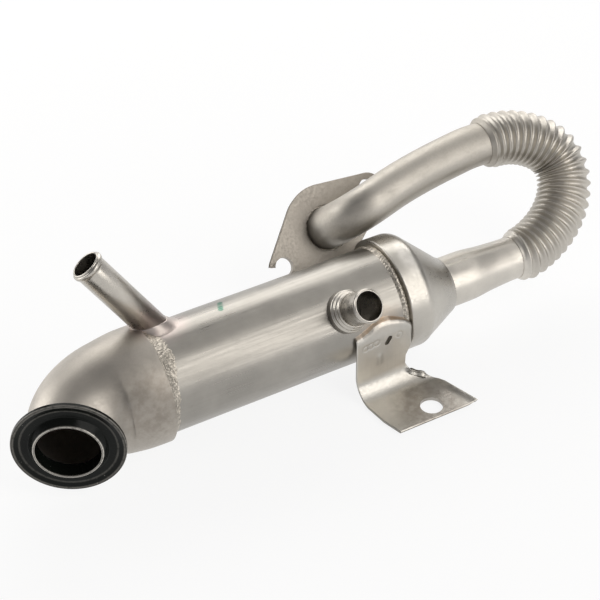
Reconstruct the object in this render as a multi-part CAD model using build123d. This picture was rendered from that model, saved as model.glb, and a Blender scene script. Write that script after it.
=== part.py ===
from build123d import *
import math
import os

# Exhaust gas cooler with its flexible return pipe. All lengths are in millimetres, all angles in degrees.
# The parts are drawn in the casing frame: X runs along the casing from the inlet elbow's rim to the cone,
# Z is up and -Y is the side of the short nipple. They are then moved so that the row's origin is the
# centre of the bracket's bolt hole, on the top face of the foot.

# Casing and what it holds
CASING_R = 28.0
CASING_WALL = 1.5
CASING_START = -8.0
CASING_END = 146.0
SHEET_T = 2.0
SHEET_INSET = 2.0
GAS_TUBE_R = 4.0
GAS_TUBE_WALL = 0.5
GAS_TUBE_RINGS = 2
BUNDLE_GAP = 2.5
GAS_TUBE_PITCH = (CASING_R - CASING_WALL - GAS_TUBE_R - BUNDLE_GAP) / GAS_TUBE_RINGS
BAFFLE_T = 1.2
BAFFLE_AT = (32.0, 59.0, 86.0, 118.0)
BAFFLE_CUT = 0.48 * CASING_R

# Inlet elbow and its clamp flange
SOCKET_STEP = 3.3
SOCKET_R = CASING_R + SOCKET_STEP
SOCKET_DEPTH = 8.0
SOCKET_BAND = 9.0
ELBOW_STRAIGHT = 22.0
ELBOW_TURN = 61.0
ELBOW_BEND_R = 34.7
ELBOW_STEP = 0.3
ELBOW_START_R = SOCKET_R - ELBOW_STEP
ELBOW_END_R = 21.4
ELBOW_TAPER = 1.4
ELBOW_WALL = 2.4
ELBOW_STATIONS = 9
FLANGE_R = 28.4
FLANGE_T = 5.5
FLANGE_LIP = 2.2
FLANGE_RIM_W = 1.2
FLANGE_STEP_R = 24.0
FLANGE_BORE_R = 16.2
FLANGE_RECESS = 1.0
SPIGOT_BASE_R = 19.8
SPIGOT_R = 17.2
SPIGOT_H = 3.0

# Weld beads between the casing and its two ends, as shares of height and width
BEAD_WIDTH = 4.6
BEAD_HEIGHT = 2.6
BEAD_SHARES = ((0.0, 0.0), (1.0, 0.0), (0.9, 0.35), (0.5, 0.75), (0.0, 1.0))

# Outlet cone, with its collar over the casing
COLLAR_START = 137.7
COLLAR_STEP = 3.6
COLLAR_R = CASING_R + COLLAR_STEP
COLLAR_LENGTH = 12.7
SHOULDER_STEP = 1.2
SHOULDER_R = COLLAR_R - SHOULDER_STEP
SHOULDER_LENGTH = 2.2
CONE_END = 178.0
CONE_END_R = 15.2
CONE_LIP_R = 16.2
CONE_WALL = 2.2
NECK_SOCKET = 5.0
NECK_OFFSET_Y = -3.6
NECK_OFFSET_Z = -3.7

# Neck tube between cone and bellows
NECK_R = 14.0
NECK_MID_R = 12.7
NECK_END_R = 11.9
NECK_WALL = 1.2
NECK_FULL_TO = 186.0
NECK_MID_AT = 199.0
NECK_EVEN_FROM = 215.0
NECK_END = 225.0

# Coolant pipe with the hose bead
PIPE_R = 8.0
PIPE_WALL = 1.0
PIPE_FOOT_X = 26.0
PIPE_LEAN = 32.1
PIPE_RISE = 69.5
PIPE_REACH = 84.4
PIPE_BEAD_R = 8.8
PIPE_BEAD_LENGTH = 2.6
PIPE_BEAD_RISE = 0.7
PIPE_MOUTH_ROUND = 0.6
PIPE_MOUTH_DEPTH = 22.0
PIPE_LOWER_WALL = 1.2
PORT_RING_DEPTH = 8.0
PIPE_BRAZE_TOP = 7.5
PIPE_BRAZE_FOOT = 3.0
PIPE_BRAZE_PROFILE = (
    (11.8, CASING_R - PORT_RING_DEPTH), (10.8, CASING_R + PIPE_BRAZE_FOOT), (8.2, CASING_R + PIPE_BRAZE_TOP))
PIPE_INSIDE = 1.3
INNER_TRIM_R = CASING_R - CASING_WALL - PIPE_INSIDE

# Short coolant nipple on its stepped boss
NIPPLE_FOOT_X = 99.6
NIPPLE_LEAN = 8.0
NIPPLE_RISE = 42.0
NIPPLE_REACH = 50.0
NIPPLE_R = 8.5
NIPPLE_WALL = 1.0
NIPPLE_LIP_R = 9.0
NIPPLE_LIP_LENGTH = 1.6
NIPPLE_LIP_RISE = 0.5
NIPPLE_LIP_ROUND = 0.4
BOSS_STEPS = ((11.2, CASING_R + 3.2), (10.2, CASING_R + 5.2), (9.3, CASING_R + 7.2))
BOSS_START = CASING_R - PORT_RING_DEPTH

# Bracket, folded from sheet: heights above the foot's top and places in front of the strap's outer face
SHEET_METAL_T = 2.5
STRAP_FACE_Y = -CASING_R - SHEET_METAL_T
STRAP_LEFT = 104.0
STRAP_RIGHT = 137.7
STRAP_TOP_ANGLE = 24.0
STRAP_TOP = ((STRAP_LEFT, 4.6), (111.0, 6.6), (118.5, 10.2), (130.5, 8.2), (STRAP_RIGHT, 3.2))
FOLD_R = 8.5
FOOT_DROP = 4.0
FOOT_TOP_Z = -CASING_R - FOOT_DROP
FOOT_REACH = 35.1
FOOT_FRONT_Y = STRAP_FACE_Y - FOOT_REACH
FOOT_RIGHT = ((157.6, -FOOT_REACH), (149.0, -7.9), (145.6, -2.5), (142.0, SHEET_METAL_T))
FOOT_LEFT = ((104.3, SHEET_METAL_T), (104.6, -11.5), (106.2, -23.5), (109.6, -FOOT_REACH))
STRAP_FLARE = ((STRAP_RIGHT, 7.0), (138.6, 4.4), (140.8, 2.6), (144.0, 1.8), (157.6, 1.4))
HOLE_X = 134.3
HOLE_REACH = 26.4
HOLE_Y = STRAP_FACE_Y - HOLE_REACH
HOLE_R = 6.1
PEEP_X = 123.5
PEEP_Z = -2.3
PEEP_LENGTH = 5.4
PEEP_WIDTH = 2.6
PEEP_TILT = 70.0

# Return branch: bellows and gas pipe lie in one plane through the neck's end, leaning up and back
BRANCH_X = 222.0
BRANCH_LEAN = 47.1
BELLOWS_PATH = (
    (3.0, 0.0), (14.1, 2.2), (24.4, 6.4), (33.5, 12.4), (41.2, 20.4), (46.0, 30.0),
    (47.2, 38.6), (45.2, 46.6), (40.0, 53.2), (32.0, 59.0), (21.0, 63.4), (7.4, 65.0),
)
BELLOWS_CREST_R = 15.1
BELLOWS_ROOT_R = 11.9
BELLOWS_WALL = 0.5
CONVOLUTION_COUNT = 25
CONVOLUTION_STATIONS = 6
CUFF_LENGTH = 6.8
CUFF_TIP_R = 12.7
CUFF_R = 14.2
CUFF_SLOPE = 4.0
CUFF_TIP = 1.0
GAS_PIPE_R = 11.7
GAS_PIPE_WALL = 1.2
GAS_PIPE_PATH = ((-2.6, 65.0), (-14.0, 64.2), (-26.8, 62.8), (-43.9, 60.2), (-56.6, 57.7), (-69.9, 54.5))
GAS_PIPE_BEND_R = 20.0
PLATE_DEPTH = 24.7

# Outlet plate
PLATE_T = 4.0
PLATE_R = 24.5
LUG_R = 9.0
LUG_AT = 35.1
PLATE_HOLE_R = 4.5
PLATE_TURN = 22.4
PLATE_WELD_LEG = 2.0

X_AXIS = Vector(1, 0, 0)
NECK_CENTRE = Vector(BRANCH_X, NECK_OFFSET_Y, NECK_OFFSET_Z)
BRANCH = Plane(
    origin=NECK_CENTRE,
    x_dir=X_AXIS,
    z_dir=Vector(0, -math.sin(math.radians(BRANCH_LEAN)), math.cos(math.radians(BRANCH_LEAN))),
)


def rod(start, direction, radius, length):
    """A solid cylinder from a point along a direction."""
    return extrude(Plane(origin=start, z_dir=direction) * Circle(radius), amount=length)


def x_rod(x_from, x_to, radius, y=0.0, z=0.0):
    """A solid cylinder along X."""
    return rod(Vector(x_from, y, z), X_AXIS, radius, x_to - x_from)


def x_circle(x, radius, y=0.0, z=0.0):
    """A circle square to X."""
    return Plane(origin=(x, y, z), x_dir=(0, 1, 0), z_dir=X_AXIS) * Circle(radius)


def turned(outline, start, direction):
    """A solid of revolution; outline holds (radius, height) pairs about the direction from start."""
    plane = Plane(origin=start, z_dir=direction)
    face = make_face(Polyline(*[(r, 0, h) for r, h in outline], close=True))
    return plane.location * revolve(face, Axis.Z, 360)


def leaning(lean, rise, side):
    """Unit direction of a pipe that leaves the casing's axis; side is -1 for the -Y half."""
    lean, rise = math.radians(lean), math.radians(rise)
    return Vector(math.sin(lean), side * math.cos(lean) * math.cos(rise), math.cos(lean) * math.sin(rise))


PIPE_DIR = leaning(-PIPE_LEAN, PIPE_RISE, 1)
PIPE_FOOT = Vector(PIPE_FOOT_X, 0, 0)
NIPPLE_DIR = leaning(NIPPLE_LEAN, NIPPLE_RISE, -1)
NIPPLE_FOOT = Vector(NIPPLE_FOOT_X, 0, 0)


def casing():
    """The coolant casing: a round tube with two holes for the coolant pipes."""
    tube = x_rod(CASING_START, CASING_END, CASING_R) - x_rod(CASING_START, CASING_END, CASING_R - CASING_WALL)
    tube -= rod(PIPE_FOOT, PIPE_DIR, PIPE_R, PIPE_REACH)
    tube -= rod(NIPPLE_FOOT, NIPPLE_DIR, NIPPLE_R, NIPPLE_REACH)
    return tube


def gas_tube_places():
    """Centres of the gas tubes: a hexagonal bundle about the casing's axis."""
    places = []
    for i in range(-GAS_TUBE_RINGS, GAS_TUBE_RINGS + 1):
        for j in range(-GAS_TUBE_RINGS, GAS_TUBE_RINGS + 1):
            if abs(i + j) <= GAS_TUBE_RINGS:
                places.append((GAS_TUBE_PITCH * (i + j / 2), GAS_TUBE_PITCH * j * math.sqrt(3) / 2))
    return places


SHEET_AT = (CASING_START + SHEET_INSET, CASING_END - SHEET_INSET - SHEET_T)


def gas_tube(place):
    """One thin gas tube, from outer face to outer face of the tube sheets."""
    start, end = SHEET_AT[0], SHEET_AT[1] + SHEET_T
    return x_rod(start, end, GAS_TUBE_R, *place) - x_rod(start, end, GAS_TUBE_R - GAS_TUBE_WALL, *place)


def drilled_disc(x, thickness):
    """A disc across the casing with one hole for each gas tube."""
    disc = x_rod(x, x + thickness, CASING_R - CASING_WALL)
    for place in gas_tube_places():
        disc -= x_rod(x, x + thickness, GAS_TUBE_R, *place)
    return disc


def baffle(index):
    """A baffle with one side cut away, turned over from one baffle to the next."""
    x = BAFFLE_AT[index]
    side = 1 if index % 2 else -1
    window = Pos(x + BAFFLE_T / 2, 0, side * (BAFFLE_CUT + CASING_R)) * Box(
        2 * BAFFLE_T, 2 * CASING_R, 2 * CASING_R)
    return drilled_disc(x, BAFFLE_T) - window


def elbow_point(distance):
    """Centre and heading of the elbow's centreline at a distance from the socket's rim."""
    turn = math.radians(ELBOW_TURN)
    bend = ELBOW_BEND_R * turn
    if distance <= ELBOW_STRAIGHT:
        return Vector(-distance, 0, 0), Vector(-1, 0, 0)
    angle = min((distance - ELBOW_STRAIGHT) / ELBOW_BEND_R, turn)
    rest = max(distance - ELBOW_STRAIGHT - bend, 0.0)
    heading = Vector(-math.cos(angle), -math.sin(angle), 0)
    point = Vector(-ELBOW_STRAIGHT - ELBOW_BEND_R * math.sin(angle), -ELBOW_BEND_R * (1 - math.cos(angle)), 0)
    return point + heading * rest, heading


ELBOW_LENGTH = ELBOW_STRAIGHT + ELBOW_BEND_R * math.radians(ELBOW_TURN)
FLANGE_BACK, FLANGE_DIR = elbow_point(ELBOW_LENGTH)


def elbow_loft(start, radius_start, radius_end):
    """A smooth tapering bend from a distance along the centreline to the flange."""
    sections = []
    for k in range(ELBOW_STATIONS):
        part = k / (ELBOW_STATIONS - 1)
        point, heading = elbow_point(start + (ELBOW_LENGTH - start) * part)
        radius = radius_start + (radius_end - radius_start) * part ** ELBOW_TAPER
        sections.append(Plane(origin=point, x_dir=(0, 0, 1), z_dir=heading) * Circle(radius))
    return loft(sections)


def inlet_elbow():
    """The gas inlet elbow: a socket over the casing, then a bend that tapers to the flange."""
    body = x_rod(-SOCKET_BAND, 0, SOCKET_R) + elbow_loft(SOCKET_BAND, ELBOW_START_R, ELBOW_END_R)
    body -= x_rod(-SOCKET_DEPTH, 0, CASING_R)
    body -= x_rod(-SOCKET_BAND, -SOCKET_DEPTH, CASING_R - CASING_WALL)
    body -= elbow_loft(SOCKET_BAND, CASING_R - CASING_WALL, ELBOW_END_R - ELBOW_WALL)
    return body - rod(PIPE_FOOT, PIPE_DIR, PIPE_R, PIPE_REACH)


def inlet_flange():
    """The dark clamp flange with a conical spigot; heights are from its back face."""
    outline = (
        (FLANGE_BORE_R, 0), (ELBOW_END_R, 0), (FLANGE_R, FLANGE_T - FLANGE_LIP), (FLANGE_R, FLANGE_T),
        (FLANGE_R - FLANGE_RIM_W, FLANGE_T), (FLANGE_STEP_R, FLANGE_T - FLANGE_RECESS),
        (SPIGOT_BASE_R, FLANGE_T - FLANGE_RECESS), (SPIGOT_R, FLANGE_T + SPIGOT_H),
        (FLANGE_BORE_R, FLANGE_T + SPIGOT_H),
    )
    return turned(outline, FLANGE_BACK, FLANGE_DIR)


def bead(x, facing, cutters):
    """A weld bead on the casing against the ring face at x; facing is the side it lies on."""
    outline = [(CASING_R + high * BEAD_HEIGHT, wide * BEAD_WIDTH) for high, wide in BEAD_SHARES]
    ring = turned(outline, Vector(x, 0, 0), X_AXIS * facing)
    for cutter in cutters:
        ring -= cutter
    return ring


def outlet_cone():
    """The cup over the casing's end, with an off-centre cone down to the neck."""
    offset = (NECK_OFFSET_Y, NECK_OFFSET_Z)
    collar_end = COLLAR_START + COLLAR_LENGTH
    shoulder_end = collar_end + SHOULDER_LENGTH
    neck_start = CONE_END - NECK_SOCKET
    body = x_rod(COLLAR_START, collar_end, COLLAR_R)
    body += loft([x_circle(collar_end, COLLAR_R), x_circle(shoulder_end, SHOULDER_R)], ruled=True)
    body += loft([x_circle(shoulder_end, SHOULDER_R), x_circle(neck_start, CONE_LIP_R, *offset)], ruled=True)
    body += loft([x_circle(neck_start, CONE_LIP_R, *offset), x_circle(CONE_END, CONE_END_R, *offset)], ruled=True)
    body -= x_rod(COLLAR_START, CASING_END, CASING_R)
    body -= x_rod(CASING_END, collar_end, CASING_R - CASING_WALL)
    body -= loft([x_circle(collar_end, CASING_R - CASING_WALL),
                  x_circle(neck_start, NECK_R - NECK_WALL, *offset)], ruled=True)
    return body - x_rod(neck_start, CONE_END, NECK_R, *offset)


def neck_tube():
    """The tube from the cone to the bellows, drawn down in two tapers and straight in its cuff."""
    offset = (NECK_OFFSET_Y, NECK_OFFSET_Z)
    stations = ((CONE_END - NECK_SOCKET, NECK_R), (NECK_FULL_TO, NECK_R),
                (NECK_MID_AT, NECK_MID_R), (NECK_EVEN_FROM, NECK_END_R), (NECK_END, NECK_END_R))
    body = None
    for (x_a, r_a), (x_b, r_b) in zip(stations, stations[1:]):
        skin = loft([x_circle(x_a, r_a, *offset), x_circle(x_b, r_b, *offset)], ruled=True)
        hollow = loft([x_circle(x_a, r_a - NECK_WALL, *offset), x_circle(x_b, r_b - NECK_WALL, *offset)], ruled=True)
        piece = skin - hollow
        body = piece if body is None else body + piece
    return body


def trimmer():
    """The space inside the casing that the coolant pipes don't reach into."""
    return x_rod(CASING_START, CASING_END, INNER_TRIM_R)


def long_coolant_pipe():
    """The leaning coolant pipe; its mouth is opened a little and has a bead for a hose."""
    bead_start = PIPE_REACH - PIPE_BEAD_LENGTH
    mouth_start, lower_bore = PIPE_REACH - PIPE_MOUTH_DEPTH, PIPE_R - PIPE_LOWER_WALL
    outline = (
        (PIPE_R - PIPE_WALL, mouth_start), (lower_bore, mouth_start), (lower_bore, 0), (PIPE_R, 0),
        (PIPE_R, bead_start), (PIPE_BEAD_R, bead_start + PIPE_BEAD_RISE),
        (PIPE_BEAD_R, PIPE_REACH - PIPE_MOUTH_ROUND), (PIPE_BEAD_R - PIPE_MOUTH_ROUND, PIPE_REACH),
        (PIPE_R - PIPE_WALL, PIPE_REACH),
    )
    return turned(outline, PIPE_FOOT, PIPE_DIR) - trimmer()


def pipe_braze():
    """The braze fillet around the long coolant pipe, on the casing and the elbow's rim."""
    (_, low), (_, high) = PIPE_BRAZE_PROFILE[0], PIPE_BRAZE_PROFILE[-1]
    outline = ((PIPE_R, low), *PIPE_BRAZE_PROFILE, (PIPE_R, high))
    ring = turned(outline, PIPE_FOOT, PIPE_DIR)
    ring -= x_rod(-2 * SOCKET_R, COLLAR_START, CASING_R)
    return ring - x_rod(-2 * SOCKET_R, 0, SOCKET_R)


def short_nipple():
    """The short coolant nipple, with a rolled lip."""
    lip_start = NIPPLE_REACH - NIPPLE_LIP_LENGTH
    outline = (
        (NIPPLE_R - NIPPLE_WALL, 0), (NIPPLE_R, 0), (NIPPLE_R, lip_start - NIPPLE_LIP_RISE), (NIPPLE_LIP_R, lip_start),
        (NIPPLE_LIP_R, NIPPLE_REACH - NIPPLE_LIP_ROUND), (NIPPLE_LIP_R - NIPPLE_LIP_ROUND, NIPPLE_REACH),
        (NIPPLE_R - NIPPLE_WALL, NIPPLE_REACH),
    )
    return turned(outline, NIPPLE_FOOT, NIPPLE_DIR) - trimmer()


def nipple_boss():
    """The stepped boss that holds the short nipple on the casing."""
    outline = [(NIPPLE_R, BOSS_START), (BOSS_STEPS[0][0], BOSS_START)]
    for k, (radius, top) in enumerate(BOSS_STEPS):
        inner = BOSS_STEPS[k + 1][0] if k + 1 < len(BOSS_STEPS) else NIPPLE_R
        outline += [(radius, top), (inner, top)]
    ring = turned(outline, NIPPLE_FOOT, NIPPLE_DIR)
    return ring - x_rod(CASING_START, COLLAR_START, CASING_R)


def bracket():
    """The mounting bracket: a strap on the casing, a fold and a flat foot with a bolt hole."""
    t = SHEET_METAL_T
    inner, outer = CASING_R, CASING_R + t
    top, half = math.radians(STRAP_TOP_ANGLE), math.radians(45)
    fold_y, fold_z = -outer - FOLD_R + t, FOOT_TOP_Z + FOLD_R - t

    def on_casing(radius, angle):
        return (-radius * math.cos(angle), radius * math.sin(angle))

    def on_fold(radius):
        return (fold_y + radius * math.cos(half), fold_z - radius * math.sin(half))

    tight, wide = FOLD_R - t, FOLD_R
    outline = [
        ThreePointArc(on_casing(inner, top), on_casing(inner, top / 2), on_casing(inner, 0)),
        Line((-inner, 0), (-inner, fold_z)),
        ThreePointArc((-inner, fold_z), on_fold(wide), (fold_y, fold_z - wide)),
        Line((fold_y, fold_z - wide), (FOOT_FRONT_Y, fold_z - wide)),
        Line((FOOT_FRONT_Y, fold_z - wide), (FOOT_FRONT_Y, fold_z - tight)),
        Line((FOOT_FRONT_Y, fold_z - tight), (fold_y, fold_z - tight)),
        ThreePointArc((fold_y, fold_z - tight), on_fold(tight), (-outer, fold_z)),
        Line((-outer, fold_z), (-outer, 0)),
        ThreePointArc((-outer, 0), on_casing(outer, top / 2), on_casing(outer, top)),
        Line(on_casing(outer, top), on_casing(inner, top)),
    ]
    section = Plane(origin=(STRAP_LEFT, 0, 0), x_dir=(0, 1, 0), z_dir=X_AXIS) * make_face(outline)
    body = extrude(section, amount=STRAP_FLARE[-1][0] - STRAP_LEFT)
    return body & strap_outline() & foot_outline() - bracket_holes()


def strap_outline():
    """The bracket's outline as seen along Y; it flares at the fold, and the foot below is free."""
    low = 2 * FOOT_TOP_Z
    flare = [(x, FOOT_TOP_Z + height) for x, height in STRAP_FLARE]
    face = Plane.XZ * make_face(Polyline(*STRAP_TOP, *flare, (flare[-1][0], low), (STRAP_LEFT, low), close=True))
    return extrude(face, amount=-2 * FOOT_FRONT_Y)


def foot_outline():
    """The bracket's outline from above, where the foot is wider than the strap."""
    right = [(x, STRAP_FACE_Y + y) for x, y in FOOT_RIGHT]
    left = [(x, STRAP_FACE_Y + y) for x, y in FOOT_LEFT]
    outline = Polyline(*right, (STRAP_RIGHT, -CASING_R), (STRAP_RIGHT, 0), (STRAP_LEFT, 0), *left, close=True)
    return extrude(Pos(0, 0, 2 * FOOT_TOP_Z) * make_face(outline), amount=-4 * FOOT_TOP_Z)


def bracket_holes():
    """The foot's bolt hole and the small slanted slot in the strap."""
    hole = rod(Vector(HOLE_X, HOLE_Y, 2 * FOOT_TOP_Z), Vector(0, 0, 1), HOLE_R, -2 * FOOT_TOP_Z)
    slot = SlotOverall(PEEP_LENGTH, PEEP_WIDTH, rotation=PEEP_TILT)
    plane = Plane(origin=(PEEP_X, 0, PEEP_Z), x_dir=X_AXIS, z_dir=(0, -1, 0))
    return hole + extrude(plane * slot, amount=2 * CASING_R)


def on_branch(a, b, w=0.0):
    """A point of the return branch's plane in the casing frame."""
    return BRANCH.from_local_coords(Vector(a, b, w))


def bellows_planes():
    """Planes square to the bellows' centreline, with the outer radius of the wall at each."""
    line = Spline(*[on_branch(*p) for p in BELLOWS_PATH], tangents=[X_AXIS, X_AXIS * -1])
    steps = CONVOLUTION_COUNT * CONVOLUTION_STATIONS
    middle, swing = (BELLOWS_CREST_R + BELLOWS_ROOT_R) / 2, (BELLOWS_CREST_R - BELLOWS_ROOT_R) / 2
    stations = []
    for k in range(steps + 1):
        plane = Plane(origin=line @ (k / steps), x_dir=BRANCH.z_dir, z_dir=line % (k / steps))
        stations.append((plane, middle - swing * math.cos(math.tau * k / CONVOLUTION_STATIONS)))
    return stations


def bellows_skin(stations, inset):
    """The waved faces through the stations' circles, without the two ends."""
    solid = loft([plane * Circle(radius - inset) for plane, radius in stations], ruled=True)
    return [face for face in solid.faces() if face.geom_type != GeomType.PLANE]


def bellows():
    """The flexible corrugated pipe: an outer and an inner waved skin, closed by a ring at each end."""
    stations = bellows_planes()
    faces = bellows_skin(stations, 0.0) + bellows_skin(stations, BELLOWS_WALL)
    for plane, radius in (stations[0], stations[-1]):
        faces += (plane * (Circle(radius) - Circle(radius - BELLOWS_WALL))).faces()
    return Solid(Shell(faces))


def cuff(start, bore_r):
    """A flared cuff that joins a smooth tube to the bellows; it runs along -X from the bellows' end."""
    outline = ((bore_r, 0), (CUFF_R, 0), (CUFF_R, CUFF_LENGTH - CUFF_SLOPE), (CUFF_TIP_R, CUFF_LENGTH - CUFF_TIP),
               (bore_r, CUFF_LENGTH))
    return turned(outline, start, X_AXIS * -1)


def gas_pipe_turn():
    """Where the gas pipe's run ends in the branch plane, its heading there and the corner it turns at."""
    last, before = Vector(*GAS_PIPE_PATH[-1]), Vector(*GAS_PIPE_PATH[-2])
    heading = (last - before).normalized()
    return last, heading, last + heading * GAS_PIPE_BEND_R


def gas_pipe():
    """The smooth pipe: straight in its cuff, along the branch plane, then square out of it to the plate."""
    last, heading, corner = gas_pipe_turn()
    r, half = GAS_PIPE_BEND_R, math.radians(45)
    middle = last + heading * r * math.sin(half)
    points = [on_branch(*p) for p in GAS_PIPE_PATH]
    bend_end = on_branch(corner.X, corner.Y, -r)
    start = on_branch(*BELLOWS_PATH[-1])
    line = Line(start, points[0])
    line += Spline(*points, tangents=[X_AXIS * -1, on_branch(heading.X, heading.Y) - NECK_CENTRE])
    line += ThreePointArc(points[-1], on_branch(middle.X, middle.Y, r * math.cos(half) - r), bend_end)
    line += Line(bend_end, on_branch(corner.X, corner.Y, -PLATE_DEPTH - PLATE_T))
    ring = Circle(GAS_PIPE_R) - Circle(GAS_PIPE_R - GAS_PIPE_WALL)
    return sweep(Plane(origin=start, x_dir=BRANCH.z_dir, z_dir=X_AXIS * -1) * ring, path=line)


def plate_plane():
    """Plane of the outlet plate's front face, with X along the line of its bolt holes."""
    corner = gas_pipe_turn()[2]
    turn = math.radians(PLATE_TURN)
    along = on_branch(math.cos(turn), math.sin(turn)) - NECK_CENTRE
    return Plane(origin=on_branch(corner.X, corner.Y, -PLATE_DEPTH), x_dir=along, z_dir=BRANCH.z_dir)


def outlet_plate():
    """The two-bolt outlet plate: one open slot, one round hole and a bore for the gas pipe."""
    lugs = [Pos(side * LUG_AT, 0) * Circle(LUG_R) for side in (-1, 1)]
    outline = make_hull([*Circle(PLATE_R).edges(), *lugs[0].edges(), *lugs[1].edges()])
    slot = Pos(-LUG_AT, 0) * Circle(PLATE_HOLE_R) + Pos(-LUG_AT - LUG_R, 0) * Rectangle(2 * LUG_R, 2 * PLATE_HOLE_R)
    face = outline - Circle(GAS_PIPE_R) - Pos(LUG_AT, 0) * Circle(PLATE_HOLE_R) - slot
    return extrude(plate_plane() * face, amount=-PLATE_T)


def plate_weld():
    """The weld fillet around the gas pipe on the plate's front face."""
    plane = plate_plane()
    outline = ((GAS_PIPE_R, 0), (GAS_PIPE_R + PLATE_WELD_LEG, 0), (GAS_PIPE_R, PLATE_WELD_LEG))
    return turned(outline, plane.origin, plane.z_dir)


def row_parts():
    """Every piece by name, in the casing frame."""
    strap = bracket()
    pipe_braze_ring = pipe_braze()
    pipe_hole = rod(PIPE_FOOT, PIPE_DIR, PIPE_R, PIPE_REACH)
    parts = {
        "inlet_flange": inlet_flange(),
        "inlet_elbow": inlet_elbow(),
        "elbow_weld": bead(0, 1, [pipe_hole, pipe_braze_ring]),
        "casing": casing(),
        "cone_weld": bead(COLLAR_START, -1, [strap]),
        "outlet_cone": outlet_cone(),
        "neck_tube": neck_tube(),
        "long_coolant_pipe": long_coolant_pipe(),
        "pipe_braze": pipe_braze_ring,
        "short_nipple": short_nipple(),
        "nipple_boss": nipple_boss(),
        "bracket": strap,
        "lower_cuff": cuff(on_branch(*BELLOWS_PATH[0]), NECK_END_R),
        "bellows": bellows(),
        "upper_cuff": cuff(on_branch(*BELLOWS_PATH[-1]), GAS_PIPE_R),
        "gas_pipe": gas_pipe(),
        "outlet_plate": outlet_plate(),
        "plate_weld": plate_weld(),
        "inlet_tube_sheet": drilled_disc(SHEET_AT[0], SHEET_T),
        "outlet_tube_sheet": drilled_disc(SHEET_AT[1], SHEET_T),
    }
    for index in range(len(BAFFLE_AT)):
        parts[f"baffle_{index + 1}"] = baffle(index)
    for index, place in enumerate(gas_tube_places()):
        parts[f"gas_tube_{index + 1:02d}"] = gas_tube(place)
    return parts


def main():
    """Write one STEP file for each piece, in the row frame."""
    os.makedirs("parts", exist_ok=True)
    to_row = Pos(-HOLE_X, -HOLE_Y, -FOOT_TOP_Z)
    for name, shape in row_parts().items():
        export_step(to_row * shape, f"parts/{name}.step")


main()
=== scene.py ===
"""Looks of the exhaust gas cooler with its flexible return pipe: surfaces, finishes, studio and camera.

All lengths are in metres. The part's frame has its origin at the centre of the bracket's bolt hole, on the
top face of the foot. Sizes along the casing are measured from the inlet elbow's rim.
"""

import math

import bpy
import numpy as np
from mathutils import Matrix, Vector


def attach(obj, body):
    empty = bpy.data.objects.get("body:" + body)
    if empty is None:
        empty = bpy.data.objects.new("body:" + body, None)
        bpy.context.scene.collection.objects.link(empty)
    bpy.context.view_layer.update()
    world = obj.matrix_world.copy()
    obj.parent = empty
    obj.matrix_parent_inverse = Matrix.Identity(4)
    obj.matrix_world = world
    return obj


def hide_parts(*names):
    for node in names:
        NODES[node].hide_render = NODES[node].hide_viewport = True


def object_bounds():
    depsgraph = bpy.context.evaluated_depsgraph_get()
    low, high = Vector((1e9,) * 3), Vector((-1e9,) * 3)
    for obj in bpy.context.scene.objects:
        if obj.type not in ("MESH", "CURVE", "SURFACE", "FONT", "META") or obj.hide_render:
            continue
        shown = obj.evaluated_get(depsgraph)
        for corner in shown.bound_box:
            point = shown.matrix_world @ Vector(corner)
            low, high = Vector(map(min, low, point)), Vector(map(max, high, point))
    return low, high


bl_info = {
    "name": "Exhaust Gas Cooler",
    "version": (1, 0, 0),
    "blender": (4, 5, 0),
    "location": "3D View > Sidebar > Cooler",
    "description": "Builds the fine surfaces and finishes of an exhaust gas cooler",
    "category": "Object",
}

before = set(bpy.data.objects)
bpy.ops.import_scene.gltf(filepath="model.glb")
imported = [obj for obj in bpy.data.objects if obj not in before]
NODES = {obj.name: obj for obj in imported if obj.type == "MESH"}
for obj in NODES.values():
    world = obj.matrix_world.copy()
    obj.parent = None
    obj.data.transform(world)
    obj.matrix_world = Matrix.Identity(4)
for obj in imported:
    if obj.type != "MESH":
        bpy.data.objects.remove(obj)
CAD_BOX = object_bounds()

X, Y, Z = np.eye(3)
RIM_AT = np.array([-0.1343, 0.0569, 0.0320])
BODY = "root"
FINISH_MARK = "_finish"

# Rounded corners of a profile: steps of the curve, share of a side that it may take, length of the flat
# held beside it and how much of that length, or of the room left, is used, and the least gap of points
CORNER_STEPS = 4
SIDE_SHARE = 0.45
EDGE_HOLD, HOLD_SHARE = 0.00012, 0.9
APART = 1e-7

# How far a fillet's edge and a weld's underside lie inside the face that they meet, and the size of a
# grid step in the UV map of a fillet
SUNK, UNDER = 0.0001, 0.0006
UV_STEP = 0.001

# Pieces carried round a line, and the braze fillet: points round it, slot, and the CAD node it stands for
PIECES = {
    "casing_skin": (180, "casing_steel", "casing"),
    "elbow_skin": (160, "elbow_steel", "inlet_elbow"),
    "elbow_weld_skin": (720, "weld_metal", "elbow_weld"),
    "flange_skin": (240, "flange_dark", "inlet_flange"),
    "cone_skin": (180, "cone_steel", "outlet_cone"),
    "neck_skin": (280, "neck_steel", "neck_tube"),
    "cone_weld_skin": (640, "weld_metal", "cone_weld"),
    "long_pipe_skin": (120, "port_steel", "long_coolant_pipe"),
    "nipple_skin": (120, "port_steel", "short_nipple"),
    "boss_skin": (140, "port_steel", "nipple_boss"),
    "braze_skin": (160, "braze_metal", "pipe_braze"),
    "bellows_skin": (96, "bellows_steel", "bellows"),
    "lower_cuff_skin": (120, "neck_steel", "lower_cuff"),
    "upper_cuff_skin": (120, "pipe_steel", "upper_cuff"),
    "gas_pipe_skin": (120, "pipe_steel", "gas_pipe"),
    "plate_weld_skin": (360, "weld_metal", "plate_weld"),
}

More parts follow.
